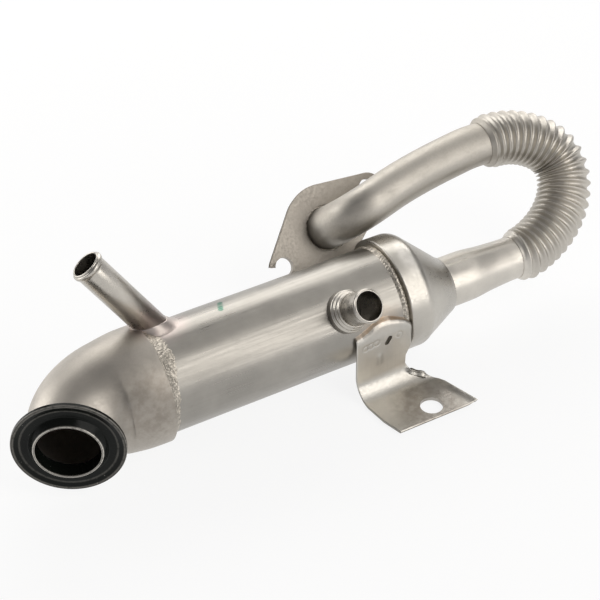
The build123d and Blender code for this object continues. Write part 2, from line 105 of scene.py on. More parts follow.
# Uneven surfaces: sine waves of (height, radians per metre along the line, waves round it, phase)
UNEVEN = {
    "casing_skin": ((0.00004, 61.0, 2.0, 0.4), (0.00003, 118.0, 3.0, 1.9)),
    "elbow_skin": ((0.00008, 70.0, 2.0, 0.3), (0.00005, 160.0, 3.0, 1.1)),
    "cone_skin": ((0.00008, 90.0, 3.0, 0.8),),
    "cone_weld_skin": ((0.00006, 1500.0, 96.0, 0.0), (0.00004, -2400.0, 57.0, 1.3)),
    "bellows_skin": ((0.00006, 35.0, 2.0, 0.5), (0.00005, 75.0, 1.0, 0.0)),
    "gas_pipe_skin": ((0.00008, 55.0, 2.0, 0.5), (0.00005, 130.0, 3.0, 0.0)),
    "plate_weld_skin": ((0.00004, 900.0, 70.0, 0.0), (0.00003, -1400.0, 41.0, 1.3)),
}

# The elbow's weld: angles round the casing, and the share of its full width there
ELBOW_WELD_TURN = np.radians([0.0, 90.0, 140.0, 208.0, 230.0, 249.0, 262.0, 290.0, 360.0])
ELBOW_WELD_SHARE = np.array([0.30, 0.45, 0.9, 1.0, 0.70, 0.50, 0.42, 0.36, 0.30])

# The same kind of waves in the share of the elbow weld's width, and in the braze fillet's width and height
WELD_WIDTH_WAVES = ((0.04, 0.0, 9, 0.0), (0.03, 0.0, 23, 1.0))
BRAZE_WIDTH, BRAZE_WIDTH_WAVES = 0.0034, ((0.0006, 0.0, 2, 0.0),)
BRAZE_HEIGHT, BRAZE_HEIGHT_WAVES = 0.0052, ((0.0008, 0.0, 3, 1.0),)

# The neck's crease and the flatter strip beside it: depth, angle round the tube and reach
NECK_DENTS = ((0.0006, 3.23, 0.08), (0.0005, 3.52, 0.20))

# The boss's rings: distance from the casing's axis, radius and rounding
BOSS_RINGS = ((0.024, 0.0112, 0.0), (0.0308, 0.0112, 0.0006), (0.0314, 0.0103, 0.0004),
              (0.0330, 0.0102, 0.0006), (0.0336, 0.0094, 0.0004), (0.0350, 0.0093, 0.0006))

# The bracket's strap: the angle that it wraps upwards, its top edge as places along the casing and heights
# over the casing's axis, and its spot welds as (down the strap, along the casing)
WRAP_ANGLE = math.radians(24.0)
STRAP_TOP_X = np.array([0.1040, 0.1080, 0.1115, 0.1150, 0.1180, 0.1210, 0.1250, 0.1300, 0.1340, 0.1377])
STRAP_TOP_Z = np.array([0.0046, 0.0055, 0.0070, 0.0088, 0.0098, 0.0101, 0.0097, 0.0082, 0.0063, 0.0036])
SPOT_WELDS = ((0.0020, 0.1095), (0.0015, 0.1125), (0.0010, 0.1160), (0.0006, 0.1297))

# The strap's peep slot: down the strap, along the casing, half its straight length, radius and lean
SLOT_AT, SLOT_HALF, SLOT_RADIUS, SLOT_LEAN = (0.0019, 0.1231), 0.0016, 0.0014, math.radians(32.0)

# The bracket's side edges: distances along the sheet from the foot's start, and places along the casing,
# the last of which is at the foot's end
BRACKET_LEFT = ((-0.048, -0.016, 0.0, 0.013), (0.1040, 0.1043, 0.1046, 0.1062, 0.1096))
BRACKET_RIGHT = ((-0.048, -0.027, -0.021, -0.0155, -0.010, -0.005, 0.0),
                 (0.1377, 0.1377, 0.1347, 0.1345, 0.1368, 0.1440, 0.1495, 0.1576))

# Centrelines of the bellows and the gas pipe in the return branch's plane: along X, up and out
BELLOWS_THROUGH = np.array([
    (0.0030, 0.0000, 0), (0.0141, 0.0022, 0), (0.0244, 0.0064, 0), (0.0335, 0.0124, 0), (0.0412, 0.0204, 0),
    (0.0460, 0.0300, 0), (0.0472, 0.0386, 0), (0.0452, 0.0466, 0), (0.0400, 0.0532, 0), (0.0320, 0.0590, 0),
    (0.0210, 0.0634, 0), (0.0074, 0.0650, 0)])
PIPE_THROUGH = np.array([
    (-0.0026, 0.0650, 0), (-0.0140, 0.0642, 0), (-0.0268, 0.0628, 0), (-0.0439, 0.0602, 0),
    (-0.0566, 0.0577, 0), (-0.0699, 0.0545, 0)])

# Sizes of the finishes' patterns, in cells per metre, and stretches by axis
BROAD, SMALL, DRAWN, FINE = 42.0, 260.0, 900.0, 5200.0
PLAIN, ALONG_STRAP = (1.0, 1.0, 1.0), (0.45, 1.0, 1.0)

# Middles of the marks: the long pipe's foot, the painted shade inside the bend, the strap's top, the
# painted highlight on the collar and the dab of paint, and the way that the dab runs
PIPE_FOOT_AT, BEND_SHADE_AT, STRAP_TOP_AT, GLINT_AT, DAB_AT = RIM_AT + np.array([
    (0.010, 0.010, 0.028), (-0.0096, -0.0276, 0.0117), (0.1200, -0.0270, 0.0110), (0.1464, -0.0096, 0.0299),
    (0.0447, 0.0069, 0.0271)])
DAB_RUN = np.array([0.0016, 0.0036, -0.0009])


# Sizes and colours that a user may change

def size(name, default, description):
    """A length property in metres."""
    return bpy.props.FloatProperty(name=name, description=description, default=default, unit="LENGTH",
                                   precision=5)


def amount(name, default, description):
    """A plain number property."""
    return bpy.props.FloatProperty(name=name, description=description, default=default, precision=4)


def degrees(name, default, description):
    """An angle property, with its default in degrees."""
    return bpy.props.FloatProperty(name=name, description=description, default=math.radians(default),
                                   subtype="ANGLE")


def colour(name, default, description):
    """A linear colour property."""
    return bpy.props.FloatVectorProperty(name=name, description=description, default=default, subtype="COLOR",
                                         size=3, min=0.0, max=1.0)


class CasingSizes(bpy.types.PropertyGroup):
    """Casing, inlet elbow, outlet cone and neck."""

    radius: size("Casing radius", 0.028, "Outside radius of the coolant casing")
    wall: size("Casing wall", 0.0015, "Thickness of the casing's sheet")
    inset: size("Casing start", -0.008, "How far the casing starts inside the elbow's socket")
    length: size("Casing end", 0.146, "Where the casing ends inside the collar")
    socket: size("Socket radius", 0.0313, "Outside radius of the elbow's socket")
    socket_depth: size("Socket depth", 0.009, "Length of the socket's even band")
    straight: size("Elbow straight", 0.022, "Straight run before the elbow bends")
    bend: size("Elbow bend radius", 0.0347, "Radius of the elbow's centreline")
    turn: degrees("Elbow turn", 61.0, "Angle that the elbow turns through")
    weld_width: size("Weld width", 0.0090, "Width of the weld over the top of the casing")
    elbow_end: size("Elbow end radius", 0.0214, "Outside radius where the elbow meets the flange")
    elbow_wall: size("Elbow wall", 0.0024, "Wall of the elbow")
    ease: size("Elbow ease", 0.0009, "How far the inside of the bend is filled out")
    ease_at: size("Elbow ease place", 0.040, "Distance along the elbow where it is filled out most")
    taper: amount("Elbow taper", 1.4, "How late the elbow draws in, 1 is even")
    collar_start: size("Collar start", 0.1377, "Where the outlet collar starts")
    collar: size("Collar radius", 0.0316, "Outside radius of the outlet collar")
    collar_length: size("Collar length", 0.0127, "Length of the outlet collar")
    shoulder_length: size("Shoulder length", 0.0022, "Length of the rounded shoulder")
    cone_lip_at: size("Cone lip place", 0.1722, "Where the cone's lip starts")
    cone_lip: size("Cone lip radius", 0.0160, "Radius at the start of the cone's lip")
    cone_end_at: size("Cone end place", 0.1738, "Where the cone ends")
    cone_end: size("Cone end radius", 0.0152, "Radius where the cone ends")
    offset_y: size("Neck offset Y", -0.0036, "How far the neck lies off the casing's axis along Y")
    offset_z: size("Neck offset Z", -0.0037, "How far the neck lies off the casing's axis along Z")
    neck: size("Neck radius", 0.0140, "Outside radius of the neck tube")
    neck_mid: size("Neck middle radius", 0.0127, "Outside radius after the first taper")
    neck_end: size("Neck end radius", 0.0119, "Outside radius in the cuff")
    neck_full: size("Neck full to", 0.1900, "Where the neck's first taper starts")
    neck_mid_at: size("Neck middle place", 0.2010, "Where the first taper ends")
    neck_even: size("Neck even from", 0.215, "Where the neck runs even again")
    neck_end_at: size("Neck end place", 0.225, "Where the neck tube ends")
    dent_at: size("Neck dent place", 0.1825, "Middle of the crease on top of the neck tube")
    neck_wall: size("Neck wall", 0.0012, "Wall of the neck tube")


class FlangeSizes(bpy.types.PropertyGroup):
    """Inlet clamp flange."""

    radius: size("Flange radius", 0.0284, "Outside radius of the flange")
    thickness: size("Flange thickness", 0.0055, "Depth from the elbow to the front rim")
    lip: size("Flange lip", 0.0022, "Even depth of the rim")
    rim: size("Rim width", 0.0012, "Width of the raised front rim")
    step: size("Step radius", 0.0240, "Where the recessed face starts")
    recess: size("Recess", 0.0010, "Depth of the recessed face")
    spigot_base: size("Spigot base radius", 0.0198, "Radius of the spigot where it leaves the face")
    spigot: size("Spigot radius", 0.0172, "Outside radius of the spigot's mouth")
    spigot_height: size("Spigot height", 0.0030, "How far the spigot stands proud")
    bore: size("Bore radius", 0.0162, "Radius of the gas bore")


class PortSizes(bpy.types.PropertyGroup):
    """Coolant pipes and their joints."""

    long_foot: size("Long pipe foot", 0.026, "Where the long pipe's line meets the casing's axis")
    long_lean: degrees("Long pipe lean", -32.1, "Lean against the casing's axis")
    long_rise: degrees("Long pipe rise", 69.5, "Angle above the level")
    long_reach: size("Long pipe reach", 0.0844, "Length of the long pipe from the casing's axis")
    long_radius: size("Long pipe radius", 0.0080, "Outside radius of the long pipe")
    long_bead: size("Hose bead radius", 0.0088, "Radius of the hose bead")
    short_foot: size("Nipple foot", 0.0996, "Where the nipple's line meets the casing's axis")
    short_lean: degrees("Nipple lean", 8.0, "Lean against the casing's axis")
    short_rise: degrees("Nipple rise", 42.0, "Angle above the level")
    short_reach: size("Nipple reach", 0.050, "Length of the nipple from the casing's axis")
    short_radius: size("Nipple radius", 0.0085, "Outside radius of the nipple")
    short_lip: size("Nipple lip radius", 0.0090, "Radius of the nipple's rolled lip")
    wall: size("Port wall", 0.0010, "Wall of both coolant pipes")


class BracketSizes(bpy.types.PropertyGroup):
    """Folded sheet bracket."""

    sheet: size("Sheet thickness", 0.0025, "Thickness of the bracket's sheet")
    edge: size("Edge rounding", 0.0005, "Rounding of the sheet's outer edge")
    fold: size("Fold radius", 0.0104, "Inside radius of the fold above the foot")
    foot_drop: size("Foot drop", 0.0320, "How far the foot's top lies under the casing's axis")
    front: size("Foot front", 0.0656, "How far the foot's front edge lies from the casing's axis")
    hole: size("Bolt hole radius", 0.0061, "Radius of the bolt hole")
    ease: size("Strap ease", 0.0009, "How far the strap's top edge is pressed into the casing")
    ease_length: size("Strap ease length", 0.0030, "Length over which the strap's top eases in")
    crease: size("Crease height", 0.0019, "Height of the crumpled corner beside the fold")
    turned_up: size("Turned-up edge", 0.0009, "Rise of the foot's right edge")


class ReturnSizes(bpy.types.PropertyGroup):
    """Bellows, cuffs, gas pipe and outlet plate."""

    start: size("Branch start", 0.222, "Where the return branch starts along the casing")
    lean: degrees("Branch lean", 47.1, "How far the branch's plane leans back")
    crest: size("Crest radius", 0.0151, "Outside radius of the convolutions")
    root: size("Root radius", 0.0129, "Outside radius of the valleys")
    sheet: size("Bellows wall", 0.0005, "Wall of the bellows")
    convolutions: bpy.props.IntProperty(name="Convolutions", description="Number of convolutions", default=25)
    cuff: size("Cuff radius", 0.0142, "Outside radius of the cuffs")
    cuff_tip: size("Cuff tip radius", 0.0128, "Outside radius where a cuff starts to flare")
    lower_cuff: size("Lower cuff length", 0.0050, "Length of the cuff on the neck tube")
    upper_cuff: size("Upper cuff length", 0.0038, "Length of the cuff on the gas pipe")
    pipe: size("Gas pipe radius", 0.0117, "Outside radius of the gas pipe")
    pipe_wall: size("Gas pipe wall", 0.0012, "Wall of the gas pipe")
    pipe_bend: size("Last bend radius", 0.020, "Radius of the bend into the plate")
    plate_depth: size("Plate depth", 0.0247, "How far the plate's front lies behind the branch's plane")
    plate: size("Plate thickness", 0.0040, "Thickness of the outlet plate")
    plate_radius: size("Plate radius", 0.0245, "Radius of the plate round its bore")
    lug: size("Lug radius", 0.0090, "Radius of the plate's lugs")
    lug_at: size("Lug distance", 0.0338, "Distance of the lugs' holes from the bore")
    bolt: size("Bolt hole radius", 0.0050, "Radius of the plate's bolt hole and slot")
    bolt_rise: size("Bolt hole rise", 0.0008, "How far the hole and slot lie above the lugs' middle line")
    plate_edge: size("Plate edge", 0.0004, "Rounding of the plate's front edge")
    plate_turn: degrees("Plate turn", 22.4, "Turn of the lugs in the branch's plane")
    gap: size("Plate gap", 0.0010, "Gap round the gas pipe in the plate's front face")
    weld: size("Weld leg", 0.0005, "Leg of the weld round the gas pipe")
    lower: amount("Plate's lower share", 0.84, "Height of the plate's lower half over that of its upper half")


class FinishColours(bpy.types.PropertyGroup):
    """Base colours of the finishes."""

    casing: colour("Casing steel", (0.335, 0.318, 0.290), "Drawn tube of the casing")
    elbow: colour("Elbow steel", (0.47, 0.437, 0.392), "Pressed elbow")
    # Painted shade: a darker colour inside the elbow's bend, near its weld, where shade falls
    bend_shade: colour("Heat tint", (0.28, 0.250, 0.215), "Darker heat tint inside the elbow's bend")
    cone: colour("Cone steel", (0.49, 0.467, 0.425), "Outlet collar and cone")
    neck: colour("Neck steel", (0.61, 0.578, 0.525), "Neck tube and lower cuff")
    port: colour("Port steel", (0.53, 0.500, 0.452), "Coolant pipes")
    bracket: colour("Bracket steel", (0.52, 0.500, 0.460), "Folded sheet")
    bellows: colour("Bellows steel", (0.55, 0.520, 0.470), "Thin corrugated wall")
    pipe: colour("Gas pipe steel", (0.49, 0.460, 0.412), "Gas pipe and upper cuff")
    plate: colour("Plate steel", (0.37, 0.340, 0.300), "Outlet plate")
    weld: colour("Weld metal", (0.50, 0.46, 0.40), "Weld beads")
    braze: colour("Braze", (0.50, 0.420, 0.395), "Braze round the long pipe")
    flange: colour("Dark flange", (0.0045, 0.0055, 0.0045), "Blackened flange")
    core: colour("Core steel", (0.22, 0.20, 0.18), "Sooty inner pieces")
    # Painted shade: a darker colour on the middle of the bracket's foot, under the casing
    foot: colour("Foot steel", (0.29, 0.262, 0.232), "Duller middle of the bracket's foot")
    straw: colour("Straw tint", (0.42, 0.26, 0.14), "Light heat tint")
    # Painted highlight: a bright patch that stands in for glints on the collar's shoulder
    painted_glint: colour("Rubbed steel", (0.80, 0.77, 0.72), "Bright rubbed patch on the cone")
    dab: colour("Paint dab", (0.055, 0.15, 0.105), "Small green paint dab on the casing")
    floor: colour("Floor", (1.0, 1.0, 1.0), "Studio floor")


class StudioSettings(bpy.types.PropertyGroup):
    """Camera and lamps."""

    camera_at: bpy.props.FloatVectorProperty(name="Camera place", description="Where the camera stands",
                                             default=(-0.40309, -0.56318, 0.64647), subtype="TRANSLATION")
    pitch: degrees("Camera pitch", 50.18, "Tilt of the camera from straight down")
    heading: degrees("Camera heading", -29.88, "Turn of the camera about the vertical")
    lens: amount("Lens", 108.0, "Focal length in millimetres on a 36 mm sensor")
    floor_size: size("Floor size", 8.0, "Width of the studio floor")
    floor_glow: amount("Floor evenness", 0.86, "Share of the floor that shows its own colour, 0 is lit only")
    horizon: amount("Horizon strength", 0.90, "Strength of the world at the level of the horizon")
    world: amount("World strength", 0.22, "Strength of the world overhead")


# Shapes

def placed(name, data):
    """A new object in the scene for a mesh, a lamp or a camera."""
    made = bpy.data.objects.new(name, data)
    bpy.context.scene.collection.objects.link(made)
    return made


def bump(value, centre, reach, power=2):
    """A smooth bump of height 1: e to minus a power of the distance from its centre over its reach."""
    return np.exp(-((value - centre) / reach)**power)


def unit(vectors):
    """Vectors divided by their own lengths."""
    return vectors / np.linalg.norm(vectors, axis=-1, keepdims=True)


def direction(lean, rise, side):
    """Direction of a coolant pipe: it leans along the casing and rises on the given side of it."""
    return np.array([math.sin(lean), side * math.cos(lean) * math.cos(rise), math.cos(lean) * math.sin(rise)])


def centreline(points, up, heading=None):
    """A centreline for carried profiles.

    Distance is the running sum of the steps between points; the two directions square to the line are
    the part of up that is square to the heading, and the cross product of the heading and that part.
    """
    steps = np.linalg.norm(np.diff(points, axis=0), axis=1)
    distance = np.concatenate([[0.0], np.cumsum(steps)])
    if heading is None:
        ahead = unit(np.gradient(points, distance, axis=0))
    else:
        ahead = np.tile(heading, (len(points), 1))
    across = unit(up - (ahead @ up)[:, None] * ahead)
    return {"distance": distance, "points": points, "ahead": ahead, "across": across,
            "over": np.cross(ahead, across)}


def straight(start, heading, length):
    """A straight centreline from a point."""
    steep = 0.9
    up = -Z if abs(heading[2]) < steep else X
    return centreline(np.array([start, start + heading * length]), up)


def along_casing(start, end):
    """A straight centreline along the casing's axis between two distances from the elbow's rim."""
    return straight(RIM_AT + X * start, X, end - start)


def spline(points, start_heading, end_heading, count):
    """A smooth curve through points: a cubic per span whose slopes make the bend continuous.

    The slopes solve one linear system, with the end slopes given; each span is then the cubic that
    matches its two ends and slopes.
    """
    span = np.linalg.norm(np.diff(points, axis=0), axis=1)
    knots = np.concatenate([[0.0], np.cumsum(span)])
    n = len(points)
    system, right = np.eye(n), np.zeros_like(points)
    inner = np.arange(1, n - 1)
    before, after = span[:-1], span[1:]
    system[inner, inner - 1] = after
    system[inner, inner] = 2 * (before + after)
    system[inner, inner + 1] = before
    change = np.diff(points, axis=0) / span[:, None]
    right[inner] = 3 * (after[:, None] * change[:-1] + before[:, None] * change[1:])
    right[0], right[-1] = start_heading, end_heading
    slopes = np.linalg.solve(system, right)
    at = np.linspace(0.0, knots[-1], count)
    k = np.clip(np.searchsorted(knots, at, side="right") - 1, 0, n - 2)
    t = ((at - knots[k]) / span[k])[:, None]
    rise = span[k][:, None]
    return ((2 * t**3 - 3 * t**2 + 1) * points[k] + (t**3 - 2 * t**2 + t) * rise * slopes[k]
            + (3 * t**2 - 2 * t**3) * points[k + 1] + (t**3 - t**2) * rise * slopes[k + 1])


def rounded(profile):
    """A closed profile with rounded corners, from (distance, radius, rounding) rows.

    Each corner gives way to the quadratic curve that leaves and joins its two sides the rounding away
    from it; one more point on each side holds the flat next to it flat. A rounding of 0 keeps the point.
    """
    rows = np.array(profile, float)
    corners, roundings = rows[:, :2], rows[:, 2]
    run_in, run_out = np.roll(corners, 1, axis=0) - corners, np.roll(corners, -1, axis=0) - corners
    t = np.linspace(0.0, 1.0, CORNER_STEPS + 1)[:, None]
    pieces = []
    for corner, back, ahead, rounding in zip(corners, run_in, run_out, roundings):
        room = SIDE_SHARE * min(np.linalg.norm(back), np.linalg.norm(ahead))
        reach = min(rounding, room)
        if reach <= 0.0:
            pieces.append(corner[None])
            continue
        back, ahead = back / np.linalg.norm(back), ahead / np.linalg.norm(ahead)
        first, last = corner + back * reach, corner + ahead * reach
        curve = (1 - t)**2 * first + 2 * t * (1 - t) * corner + t**2 * last
        hold = min(EDGE_HOLD, room - reach) * HOLD_SHARE + APART
        pieces.append(np.vstack([first + back * hold, curve, last + ahead * hold]))
    return np.vstack(pieces)


def refined(profile, step):
    """The same closed profile with more points, none further from the next than the step."""
    ahead = np.roll(profile, -1, axis=0)
    counts = np.maximum(np.ceil(np.linalg.norm(ahead - profile, axis=1) / step).astype(int), 1)
    return np.vstack([a + (b - a) * np.linspace(0.0, 1.0, n, endpoint=False)[:, None]
                      for a, b, n in zip(profile, ahead, counts)])


def new_piece(name, points, faces):
    """A smooth-shaded mesh object from points and quads."""
    mesh = bpy.data.meshes.new(name)
    mesh.from_pydata(points.tolist(), [], faces.tolist())
    mesh.polygons.foreach_set("use_smooth", np.ones(len(faces), dtype=bool))
    mesh.update()
    return placed(name, mesh)


def mesh_piece(name, points, faces, uv):
    """A closed piece with a UV map, its faces turned outwards by the sign of the enclosed volume."""
    corners = points[faces]
    twice = np.cross(corners[:, 2] - corners[:, 0], corners[:, 3] - corners[:, 1])
    if np.einsum("ij,ij->", corners.mean(axis=1) - points.mean(axis=0), twice) < 0:
        faces, uv = faces[:, ::-1], uv[:, ::-1]
    piece = new_piece(name, points, faces)
    layer = piece.data.uv_layers.new(name="Surface")
    layer.data.foreach_set("uv", np.ascontiguousarray(uv, dtype=np.float32).ravel())
    return piece


def grid_faces(rows, columns, close_rows, close_columns):
    """Quads of a grid, and the grid steps at their corners, which run on past a closed seam."""
    row, column = np.meshgrid(np.arange(rows - (not close_rows)), np.arange(columns - (not close_columns)),
                              indexing="ij")
    row, column = row.ravel(), column.ravel()
    steps = np.stack([np.stack([row + a, column + b], axis=1)
                      for a, b in ((0, 0), (1, 0), (1, 1), (0, 1))], axis=1)
    faces = (steps[..., 0] % rows) * columns + steps[..., 1] % columns
    return faces, steps


def ripples(distance, turn, waves):
    """The sum of sine waves given as (height, radians along, waves round, phase)."""
    return sum(height * np.sin(along * distance + times * turn + phase)
               for height, along, times, phase in waves)


def piece_grid(name, profile):
    """Distances and angles at the points of a carried piece."""
    around = PIECES[name][0]
    return np.meshgrid(profile[:, 0], np.arange(around) * math.tau / around, indexing="ij")


def carried(name, line, profile, swell=0.0, shift=0.0):
    """A closed profile of (distance, radius) rows carried round a centreline, as a finished piece.

    A point is the line's point at the row's distance, plus the radius times cosine and sine of the
    angle on the line's two square directions. The piece's own sine waves and swell add to the radius,
    and shift moves the point along the line; both are arrays over the grid that piece_grid gives.
    """
    around, slot, node = PIECES[name]
    distance, turn = piece_grid(name, profile)
    place, ahead, across, over = (
        np.stack([np.interp(profile[:, :1], line["distance"], line[key][:, k]) for k in range(3)], axis=-1)
        for key in ("points", "ahead", "across", "over"))
    radius = profile[:, 1][:, None] + (ripples(distance, turn, UNEVEN.get(name, ())) + swell)
    points = (place + (radius * np.cos(turn))[..., None] * across + (radius * np.sin(turn))[..., None] * over
              + (shift + np.zeros_like(turn))[..., None] * ahead)
    faces, steps = grid_faces(len(profile), around, True, True)
    sides = np.linalg.norm(np.diff(profile, axis=0, append=profile[:1]), axis=1)
    run = np.concatenate([[0.0], np.cumsum(sides)])
    uv = np.stack([run[steps[..., 0]], steps[..., 1] * (profile[:, 1].max() * math.tau / around)], axis=-1)
    return finish(mesh_piece(name, points.reshape(-1, 3), faces, uv), slot, node)


def tube_profile(outer, inner, tip=0.0003):
    """A closed profile from (distance, radius) rows of the outside, and of the inside, both running ahead."""
    rows = [(d, r, 0.0) for d, r in outer] + [(d, r, 0.0) for d, r in inner[::-1]]
    for corner in (0, len(outer) - 1, len(outer), len(rows) - 1):
        rows[corner] = (rows[corner][0], rows[corner][1], tip)
    return rounded(rows)


def finish(piece, slot, *nodes):
    """Gives a piece the finish of its slot and its body, and hides the CAD nodes that it stands for."""
    piece.data.materials.append(bpy.data.materials[slot + FINISH_MARK])
    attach(piece, BODY)
    if nodes:
        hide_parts(*nodes)
    return piece


# Finishes

def add(tree, kind, inputs, **settings):
    """A shader node of a kind, with sockets set or linked from a dictionary."""
    made = tree.nodes.new("ShaderNode" + kind)
    for key, value in settings.items():
        setattr(made, key, value)
    for key, value in inputs.items():
        if isinstance(value, bpy.types.NodeSocket):
            tree.links.new(value, made.inputs[key])
        else:
            made.inputs[key].default_value = value
    return made.outputs


def blend(tree, factor, first, second):
    """A colour between two colours."""
    return add(tree, "Mix", {0: factor, 6: first, 7: second}, data_type="RGBA")[2]


def maths(tree, kind, first, second):
    """One arithmetic step."""
    return add(tree, "Math", {0: first, 1: second}, operation=kind)[0]


def spread(tree, value, low, high, to_low=0.0, to_high=1.0):
    """A value stretched smoothly from one range to another."""
    return add(tree, "MapRange", {"Value": value, "From Min": low, "From Max": high, "To Min": to_low,
                                  "To Max": to_high}, interpolation_type="SMOOTHSTEP")[0]


def clouds(tree, place, scale, detail=3.0, stretch=PLAIN):
    """Noise over places that may first be stretched."""
    at = add(tree, "Mapping", {"Vector": place, "Scale": stretch})[0]
    return add(tree, "TexNoise", {"Vector": at, "Scale": scale, "Detail": detail})[0]


def near(tree, place, centre, inner, outer, stretch):
    """A soft mask: 1 nearer to the centre than inner, 0 beyond outer, with distances stretched by axis."""
    at = add(tree, "Mapping", {"Vector": place, "Location": [-c * s for c, s in zip(centre, stretch)],
                               "Scale": stretch})[0]
    far = add(tree, "VectorMath", {0: at}, operation="LENGTH")[1]
    return spread(tree, far, inner, outer, 1.0, 0.0)


def rgba(colour_value, share=1.0):
    """A colour with its brightness changed, as four numbers."""
    return (*[c * share for c in colour_value], 1.0)


def emptied(owner):
    """The empty node tree of a new material or world."""
    owner.use_nodes = True
    owner.node_tree.nodes.clear()
    return owner.node_tree


def new_finish(name):
    """The empty node tree of a slot's new finish, and the place on the piece that its patterns read."""
    tree = emptied(bpy.data.materials.new(name + FINISH_MARK))
    return tree, add(tree, "TexCoord", {})["Object"]


def surface(tree, paint, dull, height, strength, depth, metallic=1.0, more=None):
    """The end of each finish: a metal with a colour, a roughness and fine dents from a height."""
    dents = add(tree, "Bump", {"Height": height, "Strength": strength, "Distance": depth})[0]
    shader = add(tree, "BsdfPrincipled", {"Base Color": paint, "Metallic": metallic, "Roughness": dull,
                                          "Normal": dents, **(more or {})})[0]
    add(tree, "OutputMaterial", {"Surface": shader})


def scratches(tree, place, small):
    """Where thin scratches lie: the borders of long cells, kept only in some of the small clouds."""
    turn, cells, width = (0.4, 0.7, 0.5), (30.0, 700.0, 300.0), 0.02
    at = add(tree, "Mapping", {"Vector": place, "Rotation": turn, "Scale": cells})[0]
    lines = add(tree, "TexVoronoi", {"Vector": at, "Scale": 1.0}, feature="DISTANCE_TO_EDGE")[0]
    return maths(tree, "MULTIPLY", spread(tree, lines, 0.0, width, 1.0, 0.0), spread(tree, small, 0.52, 0.66))


def steel(name, base, rough, streak=PLAIN, uneven=0.15, grain=0.04, tints=(), scratch=0.0, speck=0.12):
    """A worn steel finish.

    Colour drifts with two sizes of clouds, roughness with clouds and with streaks that follow the drawing
    direction, and the bump is the fine grain. tints are (centre, inner, outer, stretch, colour, strength).
    """
    drift, speckled, ragged_low, streaked, scratch_dull = 0.10, 0.80, 0.55, 0.07, 0.12
    tree, place = new_finish(name)
    broad = clouds(tree, place, BROAD, 4.0)
    small = clouds(tree, place, SMALL, 5.0)
    drawn = clouds(tree, place, DRAWN, 3.0, streak)
    fine = clouds(tree, place, FINE, 2.0)
    paint = blend(tree, spread(tree, broad, 0.30, 0.72), rgba(base, 1 - drift), rgba(base, 1 + drift))
    paint = blend(tree, spread(tree, small, 0.35, 0.75, 0.0, speck), paint, rgba(base, speckled))
    for centre, inner, outer, stretch, tone, strength in tints:
        mask = near(tree, place, centre, inner, outer, stretch)
        ragged = maths(tree, "MULTIPLY", mask, spread(tree, small, 0.30, 0.65, ragged_low, 1.0))
        paint = blend(tree, maths(tree, "MULTIPLY", ragged, strength), paint, rgba(tone))
    dull = spread(tree, broad, 0.25, 0.75, rough * (1 - uneven), rough * (1 + uneven))
    dull = maths(tree, "ADD", dull, spread(tree, drawn, 0.25, 0.75, -streaked, streaked))
    height = maths(tree, "ADD", maths(tree, "MULTIPLY", fine, 0.5), maths(tree, "MULTIPLY", drawn, 0.8))
    if scratch:
        cut = scratches(tree, place, small)
        height = maths(tree, "SUBTRACT", height, maths(tree, "MULTIPLY", cut, scratch))
        dull = maths(tree, "ADD", dull, maths(tree, "MULTIPLY", cut, scratch_dull))
    surface(tree, paint, dull, height, grain, 0.0001)


def weld_metal(name, base, rough, scale, painted_sparkle):
    """Rough weld metal: pits and beads of two sizes in the bump, painted shade in low lumps, painted glints
    on high ones.
    """
    pitted, beads, dark = -0.6, 1.4, 0.70
    tree, place = new_finish(name)
    pits = add(tree, "TexVoronoi", {"Vector": place, "Scale": scale, "Randomness": 1.0}, feature="F1")[0]
    lumps = clouds(tree, place, scale * 0.7, 5.0)
    height = maths(tree, "ADD", maths(tree, "MULTIPLY", lumps, beads), maths(tree, "MULTIPLY", pits, pitted))
    # The colour is painted shade where the lumps are low and painted glints on their tops
    paint = blend(tree, spread(tree, lumps, 0.38, 0.62), rgba(base, dark), rgba(base, 1.0 + painted_sparkle))
    surface(tree, paint, rough, height, 0.6, 0.0004)


def blackened(name, base, bare, rough):
    """Blackened steel: dark and half gloss, and bare metal where the point attribute says that it is worn."""
    smoother, rougher, lighter, gloss = 0.05, 0.08, 1.5, 0.12
    tree, place = new_finish(name)
    worn = add(tree, "Attribute", {}, attribute_name="bare")[2]
    small = clouds(tree, place, 380.0, 5.0)
    broad = clouds(tree, place, 70.0, 4.0)
    patch = maths(tree, "MULTIPLY", worn, spread(tree, small, 0.28, 0.50, 0.45, 1.0))
    chips = spread(tree, clouds(tree, place, DRAWN, 2.0), 0.72, 0.76, 0.0, 0.6)
    mask = maths(tree, "MAXIMUM", patch, maths(tree, "MULTIPLY", chips, spread(tree, broad, 0.52, 0.62)))
    dark = blend(tree, spread(tree, broad, 0.35, 0.70), rgba(base), rgba(base, lighter))
    dull = spread(tree, small, 0.30, 0.70, rough - smoother, rough + rougher)
    surface(tree, blend(tree, mask, dark, rgba(bare)), dull, small, 0.06, 0.0002, mask,
            {"Specular IOR Level": gloss})


